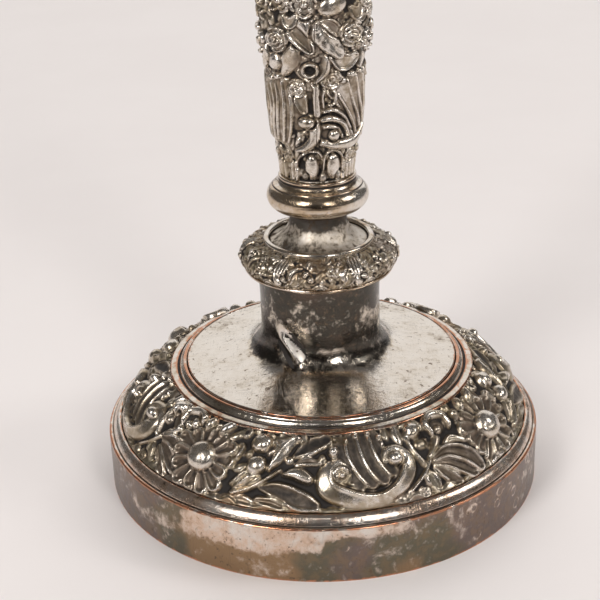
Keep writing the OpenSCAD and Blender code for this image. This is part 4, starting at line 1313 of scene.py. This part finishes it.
pan_line = curve([pan_r, pan_z + 1.2], [pan_r - 0.8, pan_z + 6], [pan_r - 5.5, pan_z + 6.2],
                 [start_r, pan_z + 2.9], 50)
wreathed("pan_border", pan_line, 24.5, -0.5, 1.25, 23, 2.1, 0.15, body="nozzle")
wire("pan_wire", pan_r - 1, M_TRIM, "nozzle")

hidden = {"felt_pad": M_FELT, "loading": M_PITCH}
hidden.update(dict.fromkeys(
    ("base_plate", "foot_nut", "foot_washer", "tie_rod", "socket_washer", "socket_nut"), M_IRON))
for node, material in hidden.items():
    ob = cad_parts[node]
    ob.data.materials.clear()
    ob.data.materials.append(material)

# ---------------------------------------------------------------- studio

# a pale paper floor, and the same paper in a curve up to a wall, which only the camera sees
paper = Tree("floor")
paper.put(paper.bsdf.inputs["Base Color"], paper.mix(
    paper.step(paper.noise(6.0, 4.0, 0.6), 0.3, 0.7), (0.80, 0.762, 0.758), (0.82, 0.784, 0.78)))
paper.put(paper.bsdf.inputs["Roughness"], 0.75)
paper.bump(paper.noise(420.0, 2.0, 0.6), 0.1, 0.0002)
floor_mesh = bpy.data.meshes.new("floor")
floor_mesh.from_pydata([(-6, -6, 0), (6, -6, 0), (6, 6, 0), (-6, 6, 0)], [], [(0, 1, 2, 3)])
floor = bpy.data.objects.new("floor", floor_mesh)
sweep_line = np.vstack([arc([1400, 800], 800, -90, 0, 20), [[2200, 2100]]]) + [0, 0.5]
around = np.linspace(0, TAU, 96, endpoint=False)[None]
sweep = mesh_from("sweep", spun(sweep_line[:, :1], sweep_line[:, 1:], around),
                  grid_quads(len(sweep_line), 96, False, True), {})
sweep.visible_glossy = sweep.visible_diffuse = sweep.visible_shadow = False
for ob in (floor, sweep):
    ob.data.materials.append(paper.mat)
bpy.context.scene.collection.objects.link(floor)


def aimed(name, data, place, target):
    """A thing of the studio that faces the target."""
    ob = bpy.data.objects.new(name, data)
    ob.location = place
    ob.rotation_euler = (Vector(target) - Vector(place)).to_track_quat("-Z", "Y").to_euler()
    bpy.context.scene.collection.objects.link(ob)
    return ob


def softbox(name, place, target, wide, tall, power):
    light = bpy.data.lights.new(name, "AREA")
    light.shape, light.size, light.size_y = "RECTANGLE", wide, tall
    light.energy, light.color = power, (1, 0.97, 0.94)
    return aimed(name, light, place, target)


def card(name, place, target, wide, tall, colour):
    """A board that shows only in reflections."""
    t = Tree(name)
    t.put(t.bsdf.inputs["Base Color"], (*colour, 1.0))
    t.put(t.bsdf.inputs["Roughness"], 1.0)
    me = bpy.data.meshes.new(name)
    w, h = wide / 2, tall / 2
    me.from_pydata([(-w, -h, 0), (w, -h, 0), (w, h, 0), (-w, h, 0)], [], [(0, 1, 2, 3)])
    me.materials.append(t.mat)
    ob = aimed(name, me, place, target)
    ob.visible_camera = ob.visible_shadow = ob.visible_diffuse = False


world = bpy.data.worlds.new("studio")
bpy.context.scene.world = world
world.use_nodes = True
background = world.node_tree.nodes["Background"].inputs
background["Color"].default_value = (0.95, 0.90, 0.87, 1)
background["Strength"].default_value = 0.12
bpy.context.scene.view_settings.view_transform = "Standard"

softbox("key_left", (-0.80, -1.05, 1.0), (0, 0, 0.1), 0.45, 0.65, 11)
softbox("key_right", (0.62, -1.20, 0.95), (0, 0, 0.1), 0.30, 0.55, 6)
softbox("backdrop", (0, 1.9, 1.05), (0, 0, 0.1), 3.2, 1.8, 15)
softbox("side_right", (1.15, -0.1, 0.95), (0, 0, 0.15), 0.4, 0.5, 4)
# two lights for the paper, which the silver doesn't mirror
softbox("floor_light", (0.0, 0.3, 2.2), (0, 0.3, 0), 6.0, 5.6, 30).visible_glossy = False
softbox("far_light", (0.0, 1.5, 1.7), (0, 0.3, 0), 3.2, 2.4, 18).visible_glossy = False
card("dark_room", (0, -2.4, 0.75), (0, 0, 0.3), 3.4, 1.9, (0.03, 0.026, 0.024))
card("dark_table", (0.03, -0.95, 0.012), (0.03, -0.95, 1), 0.62, 1.44, (0.085, 0.071, 0.059))

# ---------------------------------------------------------------- camera

# it stands level with the front, lifted round a pivot on the axis, then is panned, tipped and rolled
lift, pan, tip, roll = (math.radians(v) for v in (25.132, -0.816, 0.252, -1.213))
far = 0.47965
pivot = Vector((0, 0, 0.060))
ahead, right = Vector((0, math.cos(lift), -math.sin(lift))), Vector((1, 0, 0))
up = Vector((0, math.sin(lift), math.cos(lift)))
place = pivot - ahead * far
ahead, right = ahead * math.cos(pan) + right * math.sin(pan), right * math.cos(pan) - ahead * math.sin(pan)
ahead, up = ahead * math.cos(tip) + up * math.sin(tip), up * math.cos(tip) - ahead * math.sin(tip)
right, up = right * math.cos(roll) + up * math.sin(roll), up * math.cos(roll) - right * math.sin(roll)
cam = bpy.data.objects.new("camera", bpy.data.cameras.new("camera"))
cam.data.lens, cam.data.sensor_width = 84.0, 36.0
cam.data.clip_start = 0.02
cam.matrix_world = Matrix((
    (right.x, up.x, -ahead.x, place.x), (right.y, up.y, -ahead.y, place.y),
    (right.z, up.z, -ahead.z, place.z), (0, 0, 0, 1)))
bpy.context.scene.collection.objects.link(cam)
bpy.context.scene.camera = cam
